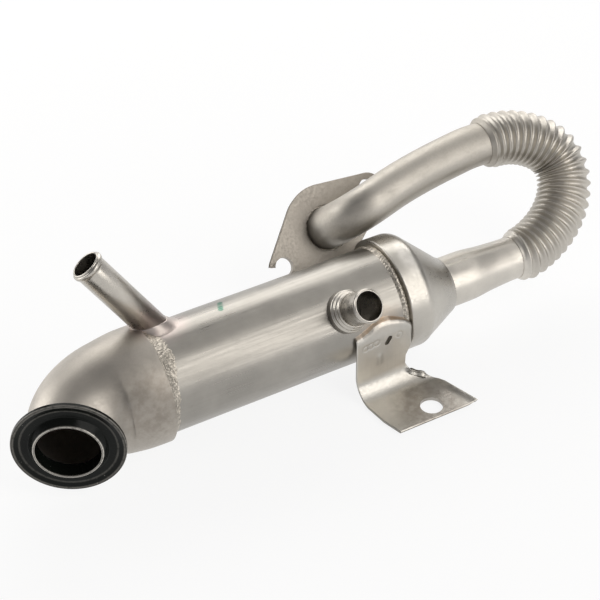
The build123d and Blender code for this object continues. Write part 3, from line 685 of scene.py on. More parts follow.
class COOLER_OT_finishes(bpy.types.Operator):
    """Make the procedural finishes, and dress the inner pieces that keep their CAD shape"""

    bl_idname = "cooler.finishes"
    bl_label = "Finishes"

    def execute(self, context):
        tone = context.scene.cooler_colours
        pipe_foot = (PIPE_FOOT_AT, 0.009, 0.020, PLAIN, tone.braze, 0.75)
        # Painted shade: a darker colour inside the elbow's bend
        bend = (BEND_SHADE_AT, 0.006, 0.032, PLAIN, tone.bend_shade, 0.90)
        casing_straw = (STRAP_TOP_AT, 0.002, 0.009, ALONG_STRAP, tone.straw, 0.22)
        strap_straw = (STRAP_TOP_AT, 0.002, 0.010, ALONG_STRAP, tone.straw, 0.15)
        braze_straw = (STRAP_TOP_AT, 0.008, 0.024, PLAIN, tone.straw, 0.65)
        # Painted highlight: a bright patch on the collar's shoulder
        painted_glint = (GLINT_AT, 0.002, 0.010, (1.6, 0.7, 0.7), tone.painted_glint, 0.9)
        # Painted shade: darkens the middle of the foot, under the casing
        foot = ((0.0, 0.002, 0.0), 0.011, 0.027, PLAIN, tone.foot, 0.85)
        dab = [(DAB_AT + along * DAB_RUN, 0.0010, 0.0022 - 0.0004 * abs(along), PLAIN, tone.dab, 0.85)
               for along in (-0.9, -0.4, 0.1, 0.6, 1.0)]
        steel("casing_steel", tone.casing, 0.34, (0.03, 1.0, 1.0), uneven=0.12, grain=0.03, speck=0.18,
              tints=(pipe_foot, casing_straw, *dab), scratch=0.5)
        steel("elbow_steel", tone.elbow, 0.47, uneven=0.08, speck=0.15, grain=0.03, tints=(pipe_foot, bend))
        steel("cone_steel", tone.cone, 0.35, scratch=0.8, tints=(painted_glint,))
        steel("neck_steel", tone.neck, 0.40, scratch=0.4)
        steel("port_steel", tone.port, 0.32, tints=(pipe_foot,))
        steel("bracket_steel", tone.bracket, 0.36, (1.0, 1.0, 0.05), speck=0.15, tints=(strap_straw, foot),
              scratch=0.9)
        steel("bellows_steel", tone.bellows, 0.46, uneven=0.2, speck=0.1, grain=0.03)
        steel("pipe_steel", tone.pipe, 0.54, uneven=0.25, scratch=0.3, speck=0.2)
        steel("plate_steel", tone.plate, 0.50, uneven=0.08, speck=0.08, scratch=0.2, grain=0.015)
        steel("core_steel", tone.core, 0.60, uneven=0.35, grain=0.06, speck=0.30)
        weld_metal("weld_metal", tone.weld, 0.38, 1100.0, 0.25)
        steel("braze_metal", tone.port, 0.44, uneven=0.12, speck=0.15, tints=(pipe_foot, braze_straw))
        blackened("flange_dark", tone.flange, tone.neck, 0.20)
        for name, node in NODES.items():
            if name.startswith(("gas_tube", "baffle")) or name.endswith("tube_sheet"):
                node.data.materials.clear()
                node.data.materials.append(bpy.data.materials["core_steel" + FINISH_MARK])
        return {"FINISHED"}


# Pieces

def elbow_line(sizes):
    """The elbow's centreline: straight from the rim, then an arc that turns towards -Y, sampled evenly."""
    steps = 60
    angle = np.linspace(0.0, sizes.turn, steps)
    arc = np.stack([-sizes.straight - sizes.bend * np.sin(angle), -sizes.bend * (1 - np.cos(angle)),
                    np.zeros_like(angle)], axis=1)
    return centreline(RIM_AT + np.vstack([[0.0, 0.0, 0.0], arc]), -Z)


def flange_place(sizes):
    """Centre of the flange's back face and the direction that it faces."""
    heading = np.array([-math.cos(sizes.turn), -math.sin(sizes.turn), 0.0])
    return elbow_line(sizes)["points"][-1], heading


class COOLER_OT_casing(bpy.types.Operator):
    """Make the casing tube"""

    bl_idname = "cooler.casing"
    bl_label = "Casing"

    def execute(self, context):
        s = context.scene.cooler_casing
        length, bore, rows = s.length - s.inset, s.radius - s.wall, 40
        outer = [(d, s.radius) for d in np.linspace(0.0, length, rows)]
        profile = tube_profile(outer, [(0.0, bore), (length, bore)])
        carried("casing_skin", along_casing(s.inset, s.length), profile)
        return {"FINISHED"}


class COOLER_OT_elbow(bpy.types.Operator):
    """Make the inlet elbow, its weld and the clamp flange"""

    bl_idname = "cooler.elbow"
    bl_label = "Inlet elbow and flange"

    def execute(self, context):
        s = context.scene.cooler_casing
        rows, tip, ease_reach = 48, 0.0005, 0.012
        line = elbow_line(s)
        end = line["distance"][-1]
        along = np.linspace(s.socket_depth, end, rows)
        drawn_in = ((along - s.socket_depth) / (end - s.socket_depth)) ** s.taper
        start, bore, inner_end = s.socket - SUNK, s.radius - s.wall, s.elbow_end - s.elbow_wall
        seat, seat_end = s.socket_depth - 0.001, s.socket_depth - 0.0008
        outer = [(0.0, s.socket), (s.socket_depth * 0.5, s.socket),
                 *zip(along, start + (s.elbow_end - start) * drawn_in)]
        inner = [(0.0, s.radius), (seat, s.radius), (seat_end, bore),
                 *zip(along, bore + (inner_end - bore) * drawn_in)]
        profile = tube_profile(outer, inner, tip)
        distance, turn = piece_grid("elbow_skin", profile)
        filled = np.clip(np.sin(turn), 0.0, 1.0)**3 * bump(distance, s.ease_at, ease_reach)
        carried("elbow_skin", line, profile, s.ease * filled)
        self.weld(s)
        self.flange(context.scene.cooler_flange, s)
        return {"FINISHED"}

    def weld(self, s):
        """The weld fillet: a hollow, grainy run from the socket down to the casing.

        Its width follows ELBOW_WELD_SHARE round the casing, with small waves, and its grains are random
        heights averaged with their neighbours.
        """
        rows, climb, hollowing, line_end = 16, 0.78, 1.4, 0.02
        seed, grain, foot_grain, averaging = 7, 0.00007, 0.2, 1.6
        run = np.linspace(0.0, 1.0, rows)
        face = s.radius - SUNK + climb * (s.socket - s.radius) * (1 - run)**hollowing
        under = s.radius - UNDER
        profile = np.array([(0.0, under), *zip(run * s.weld_width, face), (s.weld_width, under)])
        distance, turn = piece_grid("elbow_weld_skin", profile)
        grains = np.random.default_rng(seed).normal(0.0, grain, turn.shape)
        grains = (grains + np.roll(grains, 1, axis=0) + np.roll(grains, 1, axis=1)
                  + np.roll(grains, 2, axis=1)) / averaging
        grains[:2], grains[-2:] = grains[:2] * foot_grain, 0.0
        share = np.interp(turn, ELBOW_WELD_TURN, ELBOW_WELD_SHARE) + ripples(distance, turn, WELD_WIDTH_WAVES)
        carried("elbow_weld_skin", along_casing(0.0, line_end), profile, grains, distance * (share - 1))

    def flange(self, f, s):
        """The blackened flange, with a raised rim, a recessed face and a conical spigot.

        Its point attribute says how bare its edges are worn: full near an edge, fading with distance.
        """
        back, heading = flange_place(s)
        face, mouth, step, fade = f.thickness - f.recess, f.thickness + f.spigot_height, 0.0004, 1.6
        rim_in = f.radius - f.rim
        profile = refined(rounded([
            (0.0, f.bore, 0.0), (0.0, s.elbow_end, 0.0), (f.thickness - f.lip, f.radius, 0.0004),
            (f.thickness, f.radius, 0.0005), (f.thickness, rim_in, 0.0003), (face, f.step, 0.0003),
            (face, f.spigot_base, 0.0005), (mouth, f.spigot, 0.0003), (mouth, f.bore, 0.0003),
        ]), step)
        piece = carried("flange_skin", straight(back, heading, mouth), profile)
        worn = np.zeros(len(profile))
        for at, radius, reach, share in (
            (mouth, f.spigot, 0.0003, 0.9), (mouth, f.bore, 0.0004, 0.7), (face, f.step, 0.0004, 0.12),
            (f.thickness, f.radius, 0.0004, 0.35), (f.thickness, rim_in, 0.0004, 0.22),
        ):
            far = np.hypot(profile[:, 0] - at, profile[:, 1] - radius) / reach
            worn = np.maximum(worn, share * np.clip(fade - far, 0.0, 1.0))
        layer = piece.data.attributes.new("bare", "FLOAT", "POINT")
        layer.data.foreach_set("value", np.repeat(worn, PIECES["flange_skin"][0]).astype(np.float32))


class COOLER_OT_cone(bpy.types.Operator):
    """Make the outlet cone, its weld and the neck tube"""

    bl_idname = "cooler.cone"
    bl_label = "Outlet cone and neck"

    def execute(self, context):
        s = context.scene.cooler_casing
        collar_end = s.collar_start + s.collar_length
        bore, hollow = s.radius - s.wall, s.neck - s.neck_wall
        places = np.array([s.collar_start, collar_end + s.shoulder_length, s.cone_lip_at, s.neck_end_at])
        offsets = np.array([0.0, 0.0, 1.0, 1.0])
        points = RIM_AT + np.outer(places, X) + np.outer(offsets, [0.0, s.offset_y, s.offset_z])
        line = centreline(points, -Z, X)
        line["distance"] = places - s.collar_start
        profile = rounded(self.from_collar(s, [
            (s.collar_start, s.collar, 0.0006), (collar_end, s.collar, 0.0022),
            (s.cone_lip_at, s.cone_lip, 0.0008), (s.cone_end_at, s.cone_end, 0.0005),
            (s.cone_end_at, s.neck, 0.0), (s.cone_lip_at, s.neck, 0.0), (s.cone_lip_at, hollow, 0.0),
            (collar_end, bore, 0.0), (s.length, bore, 0.0), (s.length, s.radius, 0.0),
            (s.collar_start, s.radius, 0.0003)]))
        carried("cone_skin", line, profile)
        self.neck(s, line)
        self.weld(s)
        return {"FINISHED"}

    def from_collar(self, s, rows):
        """Profile rows whose distances count from the collar's start."""
        return np.array(rows) - (s.collar_start, 0.0, 0.0)

    def neck(self, s, line):
        """The neck tube: full, then drawn down twice, with a lengthwise crease and a flatter strip on top."""
        step, dent_reach = 0.0007, 0.0070
        outer = [(s.cone_lip_at, s.neck, 0.0), (s.neck_full, s.neck, 0.004),
                 (s.neck_mid_at, s.neck_mid, 0.004), (s.neck_even, s.neck_end, 0.002),
                 (s.neck_end_at, s.neck_end, 0.0)]
        inner = [(d, r - s.neck_wall, 0.0) for d, r, _ in outer[::-1]]
        profile = refined(rounded(self.from_collar(s, outer + inner)), step)
        distance, turn = piece_grid("neck_skin", profile)
        along = bump(distance, s.dent_at - s.collar_start, dent_reach, 4)
        dents = sum(depth * bump(turn, angle, reach) for depth, angle, reach in NECK_DENTS)
        carried("neck_skin", line, profile, -along * dents)

    def weld(self, s):
        """The weld bead against the collar, with regular scales along it."""
        before, after, fine, under, width = 0.006, 0.002, 0.0003, s.radius - UNDER, 0.0036
        bead = [(d, s.radius + share * (s.collar - s.radius), rounding) for d, share, rounding in (
            (0.0002, 0.14, 0.0), (-0.0008, 0.30, 0.0006), (-0.0022, 0.26, 0.0006))]
        profile = refined(rounded([(bead[0][0], under, 0.0), *bead, (-width, s.radius - SUNK, 0.0),
                                   (-width, under, 0.0)]), fine)
        profile[:, 0] += before
        carried("cone_weld_skin", along_casing(s.collar_start - before, s.collar_start + after), profile)


class COOLER_OT_ports(bpy.types.Operator):
    """Make both coolant pipes, the braze fillet and the stepped boss"""

    bl_idname = "cooler.ports"
    bl_label = "Coolant pipes"

    def execute(self, context):
        s, c = context.scene.cooler_ports, context.scene.cooler_casing
        long_way = direction(s.long_lean, s.long_rise, 1)
        short_way = direction(s.short_lean, s.short_rise, -1)
        long_line = straight(RIM_AT + X * s.long_foot, long_way, s.long_reach)
        short_line = straight(RIM_AT + X * s.short_foot, short_way, s.short_reach)
        long_bead, lip, ring_foot, ring_top = 0.0026, 0.0016, BOSS_RINGS[0][0], 0.0356
        self.pipe("long_pipe_skin", long_line, s, c, s.long_reach, s.long_radius, s.long_bead, long_bead)
        self.pipe("nipple_skin", short_line, s, c, s.short_reach, s.short_radius, s.short_lip, lip)
        carried("boss_skin", short_line, rounded([
            (ring_foot, s.short_radius, 0.0), *BOSS_RINGS, (ring_top, s.short_radius, 0.0)]))
        self.braze(s, c, long_line, long_way)
        return {"FINISHED"}

    def pipe(self, name, line, s, c, reach, radius, bead, bead_length):
        """A coolant pipe: an even tube with a hose bead close to its mouth."""
        bore, inside = radius - s.wall, c.radius - c.wall - 0.001
        slope, mouth, thinned = 0.0012, 0.0008, 0.0002
        carried(name, line, rounded([
            (inside, bore, 0.0), (inside, radius, 0.0), (reach - bead_length - slope, radius, 0.0008),
            (reach - bead_length, bead, 0.0007), (reach - slope, bead, 0.0007),
            (reach - mouth, radius, 0.0005), (reach, radius - thinned, 0.0004), (reach, bore, 0.0004),
        ]))

    def braze(self, s, c, line, way):
        """The braze fillet between the long pipe and the casing.

        On each line parallel to the pipe, at a radius and angle about it, the casing is met at the height
        where the distance to the casing's axis is its radius. The fillet's foot follows that height at a
        wider radius and its top at the pipe's own, and a hollow curve joins them.
        """
        rows, hollowing, below, tuck_in, tuck_down = 14, 2.2, 0.001, 0.02, 0.006
        around, slot, node = PIECES["braze_skin"]
        turn = np.arange(around) * math.tau / around
        part = np.linspace(0.0, 1.0, rows)
        width = BRAZE_WIDTH + ripples(0.0, turn, BRAZE_WIDTH_WAVES)
        height = BRAZE_HEIGHT + ripples(0.0, turn, BRAZE_HEIGHT_WAVES)
        radius = s.long_radius + np.outer(1 - part, width) - SUNK
        across, over = line["across"][0], line["over"][0]
        side = radius[..., None] * (np.cos(turn)[:, None] * across + np.sin(turn)[:, None] * over)
        flat_way, flat_side = way[1:], side[..., 1:]
        a, b = flat_way @ flat_way, flat_side @ flat_way
        inner = np.sum(flat_side**2, axis=-1) - c.radius**2
        met = (-b + np.sqrt(np.maximum(b**2 - a * inner, 0.0))) / a
        lift = np.outer(part**hollowing, height)
        top = RIM_AT + X * s.long_foot + side + (met + lift)[..., None] * way
        points = np.vstack([top[:1] - way * below, top, top[-1:] - side[-1:] * tuck_in - way * tuck_down])
        faces, steps = grid_faces(len(points), around, True, True)
        piece = mesh_piece("braze_skin", points.reshape(-1, 3), faces, steps * UV_STEP)
        finish(piece, slot, node)


def pierced(flat, holes):
    """Cuts holes into a flat grid.

    holes are functions that give the signed distance to a hole's edge, below 0 inside. Faces whose centre
    lies inside are left out, and the corners that they share with the others move to the edge along the
    distance's slope. Returns the moved places and a mask of the faces that stay.
    """
    flat = flat.copy()
    centre = (flat[:-1, :-1] + flat[1:, :-1] + flat[1:, 1:] + flat[:-1, 1:]) / 4
    keep = np.ones(centre.shape[:2], dtype=bool)
    tiny = 1e-6
    for hole in holes:
        inside = hole(centre[..., 0], centre[..., 1]) < 0
        keep &= ~inside
        ring, solid = np.pad(inside, 1), np.pad(~inside, 1)
        touched, held = (m[:-1, :-1] | m[1:, :-1] | m[:-1, 1:] | m[1:, 1:] for m in (ring, solid))
        u, v = flat[..., 0], flat[..., 1]
        far = hole(u, v)
        slope = np.stack([(hole(u + tiny, v) - far) / tiny, (hole(u, v + tiny) - far) / tiny], axis=-1)
        flat = np.where((touched & held)[..., None], flat - far[..., None] * slope, flat)
    return flat, keep


def gathered(count):
    """Shares from 0 to 1 that lie closer together near both ends."""
    even, evenness = np.linspace(0.0, 1.0, count), 0.3
    return evenness * even + (1 - evenness) * (0.5 - 0.5 * np.cos(math.pi * even))


def rolled_edge(room, radius):
    """How far a face drops near its edge: a quarter circle over the last radius before it."""
    return radius * (1 - np.sqrt(1 - np.clip(1 - room / radius, 0.0, 1.0)**2))


def sheet_piece(name, points, keep, thickness, inwards):
    """A sheet from a grid of points, given its thickness and small rounded edges by modifiers."""
    rows, columns = points.shape[:2]
    faces, _ = grid_faces(rows, columns, False, False)
    used, faces = np.unique(faces[keep.ravel()], return_inverse=True)
    faces = faces.reshape(-1, 4)
    corners = points.reshape(-1, 3)[used]
    middle = corners[faces[len(faces) // 2]]
    if np.cross(middle[2] - middle[0], middle[3] - middle[1]) @ inwards > 0:
        faces = faces[:, ::-1]
    piece = new_piece(name, corners, faces)
    thick = piece.modifiers.new("thickness", "SOLIDIFY")
    thick.thickness, thick.offset = thickness, -1.0
    edge = piece.modifiers.new("edges", "BEVEL")
    edge.width, edge.segments, edge.limit_method = 0.0003, 2, "ANGLE"
    edge.angle_limit, edge.harden_normals = math.radians(50.0), True
    return piece


class COOLER_OT_bracket(bpy.types.Operator):
    """Make the folded bracket and the braze line along its top edge"""

    bl_idname = "cooler.bracket"
    bl_label = "Bracket"

    def execute(self, context):
        s, c = context.scene.cooler_bracket, context.scene.cooler_casing
        rows, columns = 240, 110
        outer = c.radius + s.sheet
        self.wrap = outer * WRAP_ANGLE
        self.drop = s.foot_drop - s.fold
        self.arc = s.fold * math.pi / 2
        foot_start = self.wrap + self.drop + self.arc
        foot = s.front - outer - s.fold
        t = gathered(columns)[None]
        top_x = STRAP_TOP_X[0] + (STRAP_TOP_X[-1] - STRAP_TOP_X[0]) * t
        start = self.wrap - outer * np.arcsin(np.interp(top_x, STRAP_TOP_X, STRAP_TOP_Z) / outer)
        along = start + np.linspace(0.0, 1.0, rows)[:, None] * (foot_start + foot - start)
        left, right = (np.interp(along, foot_start + np.array([*places, foot]), edge)
                       for places, edge in (BRACKET_LEFT, BRACKET_RIGHT))
        across = left + (right - left) * t
        room = np.minimum(np.minimum(t, 1 - t) * (right - left), foot_start + foot - along)
        hole_at = (foot_start + RIM_AT[1] - outer - s.fold, -RIM_AT[0])
        flat, keep = pierced(np.stack([along, across], axis=-1), [
            self.round_hole(*hole_at, s.hole), self.slot(self.wrap + SLOT_AT[0], SLOT_AT[1])])
        eased = s.ease * (1 - np.clip((along - start) / s.ease_length, 0.0, 1.0))**2
        relief = self.relief(flat, (1 - t) * (right - left), foot_start, s)
        points = self.folded(flat, s, outer, relief - rolled_edge(room, s.edge) - eased)
        finish(sheet_piece("bracket_skin", points, keep, s.sheet - s.edge, Y), "bracket_steel", "bracket")
        self.braze_line(c, outer - s.ease)
        return {"FINISHED"}

    def round_hole(self, u, v, radius):
        """Signed distance to a round hole."""
        return lambda a, b: np.hypot(a - u, b - v) - radius

    def slot(self, u, v):
        """Signed distance to the slanted peep slot: the distance to its middle line less its radius."""
        du, dv = math.cos(SLOT_LEAN), -math.sin(SLOT_LEAN)

        def distance(a, b):
            t = np.clip((a - u) * du + (b - v) * dv, -SLOT_HALF, SLOT_HALF)
            return np.hypot(a - u - t * du, b - v - t * dv) - SLOT_RADIUS
        return distance

    def relief(self, flat, edge, foot_start, s):
        """Height above the plain sheet: the pressed rib, the spot weld marks and the crumpled right edge.

        Beside the fold the right edge is crumpled in small waves, and along the foot it is turned up a
        little; both fade with the distance from that edge.
        """
        rib_height, rib_x, rib_width, rib_down, rib_length = 0.0004, 0.1180, 0.0017, 0.0135, 0.0042
        mark_depth, mark_radius, mark_width = 0.00018, 0.0017, 0.0005
        lip_at, lip_length, wave_height, waves = -0.0078, 0.0042, 0.16, 1300.0
        rise_length, crumple_reach, turn_reach = 0.004, 0.0015, 0.0030
        u, v = flat[..., 0], flat[..., 1]
        down, past_fold = u - self.wrap, u - foot_start
        rib = rib_height * bump(v, rib_x, rib_width) * bump(down, rib_down, rib_length, 4)
        marks = sum(bump(np.hypot(down - a, v - b), mark_radius, mark_width) for a, b in SPOT_WELDS)
        lip = bump(past_fold, lip_at, lip_length, 4) * (1.0 + wave_height * np.sin(waves * u))
        turned_up = np.clip(past_fold / rise_length, 0.0, 1.0)
        right = (s.crease * lip * bump(edge, 0.0, crumple_reach)
                 + s.turned_up * turned_up * bump(edge, 0.0, turn_reach))
        return rib - mark_depth * marks + right

    def folded(self, flat, s, outer, height):
        """Wraps the flat sheet: round the casing, straight down, round the fold and out along the foot."""
        u, v = flat[..., 0], flat[..., 1]
        angle = np.clip((self.wrap - u) / outer, 0.0, None)
        down = np.clip(u - self.wrap, 0.0, self.drop)
        fold = np.clip((u - self.wrap - self.drop) / s.fold, 0.0, math.pi / 2)
        out = np.clip(u - self.wrap - self.drop - self.arc, 0.0, None)
        y = -outer * np.cos(angle) - s.fold * (1 - np.cos(fold)) - out
        z = outer * np.sin(angle) - down - s.fold * np.sin(fold)
        face_y = -np.cos(angle) * np.cos(fold)
        face_z = np.sin(angle) + np.sin(fold)
        return RIM_AT + np.stack([v, y + height * face_y, z + height * face_z], axis=-1)

    def braze_line(self, c, outer):
        """A thin run of braze that eases the strap's top edge into the casing.

        Across the run the radius falls from the strap's face to the casing's along half a cosine wave, two
        rows under the casing's face close it, and each end is drawn together to a point.
        """
        columns, rows, left_gap, right_gap = 160, 14, 0.0004, 0.0002
        below, proud, under, point = 0.0007, 0.00005, 0.0008, 0.01
        mean_reach, wave_height, waves = 0.0017, 0.0003, 420.0
        x = np.linspace(STRAP_TOP_X[0] + left_gap, STRAP_TOP_X[-1] - right_gap, columns)[:, None]
        part = np.concatenate([np.linspace(0.0, 1.0, rows), [1.0, 0.0]])[None]
        reach = mean_reach + wave_height * np.sin(waves * x)
        z = np.interp(x, STRAP_TOP_X, STRAP_TOP_Z) - below + part * reach
        radius = c.radius + (outer - c.radius + proud) * (0.5 + 0.5 * np.cos(math.pi * part)) - SUNK * part
        radius = np.broadcast_to(radius, z.shape).copy()
        radius[:, -2:] = c.radius - under
        points = RIM_AT + np.stack([np.broadcast_to(x, z.shape), -np.sqrt(radius**2 - z**2), z], axis=-1)
        for end in (0, -1):
            middle = points[end].mean(axis=0)
            points[end] = middle + (points[end] - middle) * point
        faces, steps = grid_faces(points.shape[0], points.shape[1], False, True)
        finish(mesh_piece("strap_braze", points.reshape(-1, 3), faces, steps * UV_STEP), "braze_metal")


def branch_frame(s, c):
    """Origin of the return branch and its three directions: along X, up the plane and out of it."""
    origin = RIM_AT + np.array([s.start, c.offset_y, c.offset_z])
    out = np.array([0.0, -math.sin(s.lean), math.cos(s.lean)])
    return origin, X, np.cross(out, X), out


def in_branch(s, c, places):
    """Points of the branch's plane from (along, up, out) rows."""
    origin, along, up, out = branch_frame(s, c)
    return origin + np.asarray(places) @ np.stack([along, up, out])


def pipe_line(s, c):
    """The gas pipe's centreline, and where its two last straight runs would meet.

    It runs smoothly through its points, then a quarter turn out of the plane and straight into the plate.
    """
    run_steps, turn_steps, low_steps = 160, 40, 12
    heading = unit(PIPE_THROUGH[-1] - PIPE_THROUGH[-2])
    turn = np.linspace(0.0, math.pi / 2, turn_steps)[1:, None]
    quarter = PIPE_THROUGH[-1] + s.pipe_bend * (np.sin(turn) * heading - (1 - np.cos(turn)) * Z)
    run = spline(PIPE_THROUGH, -X, heading, run_steps)
    depth = s.plate_depth + s.plate - s.pipe_bend
    low = quarter[-1] - np.linspace(0.0, 1.0, low_steps)[1:, None] * Z * depth
    places = np.vstack([BELLOWS_THROUGH[-1], run, quarter, low])
    corner = PIPE_THROUGH[-1] + heading * s.pipe_bend
    return centreline(in_branch(s, c, places), branch_frame(s, c)[2]), corner


class COOLER_OT_bellows(bpy.types.Operator):
    """Make the corrugated bellows and its two cuffs"""

    bl_idname = "cooler.bellows"
    bl_label = "Bellows and cuffs"

    def execute(self, context):
        s, c = context.scene.cooler_return, context.scene.cooler_casing
        line_steps, wave_steps, narrowing = 600, 14, 1.7
        points = in_branch(s, c, spline(BELLOWS_THROUGH, X, -X, line_steps))
        line = centreline(points, branch_frame(s, c)[3])
        length = line["distance"][-1]
        distance = np.linspace(0.0, length, s.convolutions * wave_steps + 1)
        wave = 0.5 - 0.5 * np.cos(math.tau * s.convolutions * distance / length)
        outer = s.root + (s.crest - s.root) * wave**narrowing
        carried("bellows_skin", line, np.vstack([np.stack([distance, outer], axis=1),
                                                 np.stack([distance[::-1], outer[::-1] - s.sheet], axis=1)]))
        flared, drawn_from, drawn_to, tip = 0.0009, 0.0018, 0.0030, 0.0003
        for name, start, bore, reach in (
            ("lower_cuff_skin", BELLOWS_THROUGH[0], c.neck_end, s.lower_cuff),
            ("upper_cuff_skin", BELLOWS_THROUGH[-1], s.pipe, s.upper_cuff),
        ):
            profile = rounded([
                (0.0, bore, 0.0), (0.0, s.cuff_tip, 0.0), (flared, s.cuff, 0.0005),
                (drawn_from, s.cuff, 0.0006), (drawn_to, s.cuff_tip, 0.0008), (reach, bore + tip, 0.0002),
                (reach, bore, 0.0)])
            carried(name, straight(in_branch(s, c, start), -X, reach), profile)
        return {"FINISHED"}


class COOLER_OT_gas_pipe(bpy.types.Operator):
    """Make the smooth gas pipe and the outlet plate with its weld"""

    bl_idname = "cooler.gas_pipe"
    bl_label = "Gas pipe and outlet plate"

    def execute(self, context):
        s, c = context.scene.cooler_return, context.scene.cooler_casing
        rows, inner_every = 260, 4
        line, corner = pipe_line(s, c)
        distance = np.linspace(0.0, line["distance"][-1], rows)
        outer = [(d, s.pipe) for d in distance]
        inner = [(d, s.pipe - s.pipe_wall) for d in distance[::inner_every]]
        carried("gas_pipe_skin", line, tube_profile(outer, inner))
        self.plate(s, c, corner)
        return {"FINISHED"}

    def outline(self, s, x):
        """Half the plate's height at each place along it: it wraps the middle circle and both lugs.

        Near the middle it is the middle circle, near an end the lug's circle, and between them the
        straight line that touches both. The sine and cosine of that line's lean are returned too.
        """
        least = 0.0004
        lean = (s.plate_radius - s.lug) / s.lug_at
        level = math.sqrt(1 - lean**2)
        mid = np.sqrt(np.maximum(s.plate_radius**2 - x**2, 0.0))
        lug = np.sqrt(np.maximum(s.lug**2 - (np.abs(x) - s.lug_at)**2, 0.0))
        run = (s.plate_radius - np.abs(x) * lean) / level
        half = np.where(np.abs(x) < s.plate_radius * lean, mid,
                        np.where(np.abs(x) < s.lug_at + s.lug * lean, run, lug))
        return np.maximum(half, least), lean, level

    def plate(self, s, c, corner):
        """The two-lug plate with its bore, bolt hole and open slot, and the weld round the pipe."""
        rows, columns, narrowed = 180, 110, 1.5
        origin, along, up, out = branch_frame(s, c)
        face = origin + np.stack([along, up, out]).T @ (corner - Z * s.plate_depth)
        way = along * math.cos(s.plate_turn) + up * math.sin(s.plate_turn)
        side = np.cross(out, way)
        x = -(s.lug_at + s.lug) * np.cos(np.linspace(0.0, 1.0, rows) * math.pi)
        half, lean, level = self.outline(s, x)
        x, half = x[:, None], half[:, None]
        across = 2 * gathered(columns)[None] - 1
        lower = 1.0 - (1.0 - s.lower) * np.clip(narrowed - np.abs(x) / s.lug_at * narrowed, 0.0, 1.0)
        flat = np.stack(np.broadcast_arrays(x, half * across * np.where(across < 0, lower, 1.0)), axis=-1)
        flat, keep = pierced(flat, [
            lambda u, v: np.hypot(u, v) - s.pipe - s.gap,
            lambda u, v: np.hypot(u - s.lug_at, v - s.bolt_rise) - s.bolt,
            lambda u, v: np.where(u > -s.lug_at, np.hypot(u + s.lug_at, v - s.bolt_rise),
                                  np.abs(v - s.bolt_rise)) - s.bolt])
        u, v = np.abs(flat[..., 0]), flat[..., 1]
        room = np.where(u > s.lug_at + s.lug * lean, s.lug - np.hypot(u - s.lug_at, v),
                        (1 - np.abs(across)) * half * level)
        drop = rolled_edge(np.maximum(room, 0.0), s.plate_edge)
        points = face + flat[..., :1] * way + flat[..., 1:] * side - drop[..., None] * out
        piece = sheet_piece("plate_skin", points, keep, s.plate - s.plate_edge, -out)
        finish(piece, "plate_steel", "outlet_plate")
        sunk, inside, soft = 0.0022, s.pipe - 0.0005, 0.0001
        weld = rounded([(0.0, inside, 0.0), (0.0, s.pipe + s.gap + s.weld, 0.0),
                        (s.weld, s.pipe + s.gap + soft, soft), (2 * s.weld, inside, 0.0)])
        carried("plate_weld_skin", straight(face - out * sunk, out, 2 * s.weld), weld)


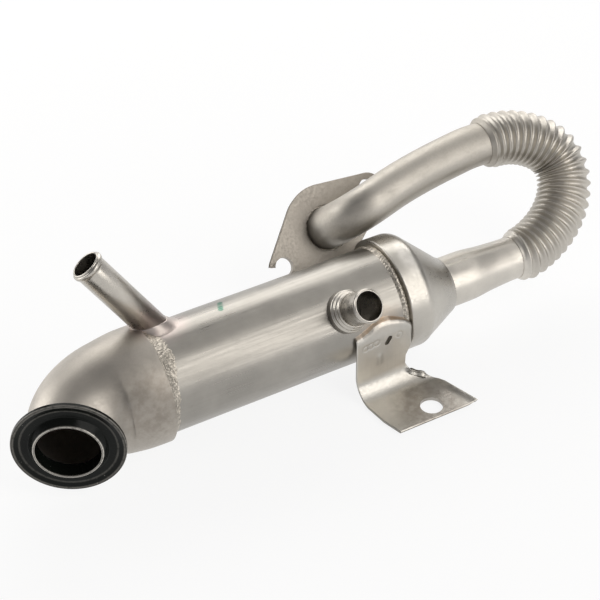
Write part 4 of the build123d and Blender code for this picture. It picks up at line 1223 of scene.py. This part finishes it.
class COOLER_OT_stage(bpy.types.Operator):
    """Make the floor, the lamps, the world and the camera"""

    bl_idname = "cooler.stage"
    bl_label = "Studio and camera"

    def execute(self, context):
        scene, s = context.scene, context.scene.cooler_studio
        self.floor(scene.cooler_colours.floor, s)
        self.lamps()
        self.world(scene, s)
        data = bpy.data.cameras.new("photo_camera")
        data.sensor_width, data.lens = 36.0, s.lens
        scene.camera = placed("photo_camera", data)
        scene.camera.location, scene.camera.rotation_euler = s.camera_at, (s.pitch, 0.0, s.heading)
        scene.view_settings.view_transform = "Standard"
        return {"FINISHED"}

    def floor(self, tone, s):
        """The floor just under the part: it shows its own colour to the camera and to reflections."""
        gap = 0.0002
        half, low = s.floor_size / 2, CAD_BOX[0][2] - gap
        corners = np.array([(-half, -half, low), (half, -half, low), (half, half, low), (-half, half, low)])
        floor = new_piece("studio_floor", corners, np.array([(0, 1, 2, 3)]))
        material = bpy.data.materials.new("studio_floor")
        tree = emptied(material)
        seen = add(tree, "LightPath", {})
        direct = maths(tree, "ADD", seen["Is Camera Ray"], seen["Is Glossy Ray"])
        direct = maths(tree, "ADD", direct, seen["Is Transmission Ray"])
        share = maths(tree, "MULTIPLY", direct, s.floor_glow)
        matt = add(tree, "BsdfDiffuse", {"Color": rgba(tone)})[0]
        glow = add(tree, "Emission", {"Color": rgba(tone), "Strength": 1.0})[0]
        shader = add(tree, "MixShader", {0: share, 1: matt, 2: glow})[0]
        add(tree, "OutputMaterial", {"Surface": shader})
        floor.data.materials.append(material)

    def world(self, scene, s):
        """A pale world that is brightest at the horizon and dims towards its strength overhead."""
        dimmed_by, pale = 0.40, (0.98, 0.98, 1.0, 1.0)
        scene.world = bpy.data.worlds.new("studio_world")
        tree = emptied(scene.world)
        rise = add(tree, "SeparateXYZ", {0: add(tree, "TexCoord", {})["Generated"]})[2]
        level = spread(tree, rise, 0.0, dimmed_by, s.horizon, s.world)
        add(tree, "OutputWorld", {"Surface": add(tree, "Background", {"Color": pale, "Strength": level})[0]})

    def lamps(self):
        """Soft lamps aimed at the middle of the part: name, place, width, height, power, warmth."""
        middle = np.mean([np.array(corner) for corner in CAD_BOX], axis=0)
        for name, place, width, height, power, tint in (
            ("key", (0.42, -0.76, 0.70), 0.60, 1.25, 6.0, (1.0, 0.975, 0.94)),
            ("back", (0.42, 1.00, 0.68), 1.30, 0.75, 8.2, (1.0, 0.985, 0.96)),
            ("top", (0.45, 0.08, 1.10), 0.90, 0.70, 1.3, (1.0, 0.985, 0.96)),
            ("side", (-0.85, 0.95, 0.45), 0.90, 0.80, 6.5, (1.0, 0.985, 0.96)),
        ):
            light = bpy.data.lights.new(name + "_lamp", "AREA")
            light.shape, light.size, light.size_y = "RECTANGLE", width, height
            light.energy, light.color = power, tint
            ahead = unit(middle - np.array(place))
            across = unit(np.cross(ahead, Z))
            turn = np.stack([across, np.cross(across, ahead), -ahead], axis=1)
            lamp = placed(name + "_lamp", light)
            lamp.location = place
            lamp.rotation_euler = (math.acos(turn[2, 2]), 0.0, math.atan2(turn[0, 2], -turn[1, 2]))


OPERATORS = (COOLER_OT_finishes, COOLER_OT_casing, COOLER_OT_elbow, COOLER_OT_cone, COOLER_OT_ports,
             COOLER_OT_bracket, COOLER_OT_bellows, COOLER_OT_gas_pipe, COOLER_OT_stage)


class COOLER_PT_panel(bpy.types.Panel):
    """Panel with one button for each group of pieces"""

    bl_label = "Exhaust Gas Cooler"
    bl_idname = "COOLER_PT_panel"
    bl_space_type = "VIEW_3D"
    bl_region_type = "UI"
    bl_category = "Cooler"

    def draw(self, context):
        for operator in OPERATORS:
            self.layout.operator(operator.bl_idname)


SETTINGS = {
    "cooler_casing": CasingSizes, "cooler_flange": FlangeSizes, "cooler_ports": PortSizes,
    "cooler_bracket": BracketSizes, "cooler_return": ReturnSizes, "cooler_colours": FinishColours,
    "cooler_studio": StudioSettings,
}


def register():
    """Registers the settings, the operators and the panel."""
    for name, group in SETTINGS.items():
        bpy.utils.register_class(group)
        setattr(bpy.types.Scene, name, bpy.props.PointerProperty(type=group))
    for each in (*OPERATORS, COOLER_PT_panel):
        bpy.utils.register_class(each)


def unregister():
    """Takes everything out again."""
    for each in (COOLER_PT_panel, *reversed(OPERATORS)):
        bpy.utils.unregister_class(each)
    for name, group in SETTINGS.items():
        delattr(bpy.types.Scene, name)
        bpy.utils.unregister_class(group)


def main():
    """Registers the settings, the operators and the panel, and builds every piece."""
    register()
    for operator in OPERATORS:
        getattr(bpy.ops.cooler, operator.bl_idname.split(".")[1])()


if __name__ == "__main__":
    main()
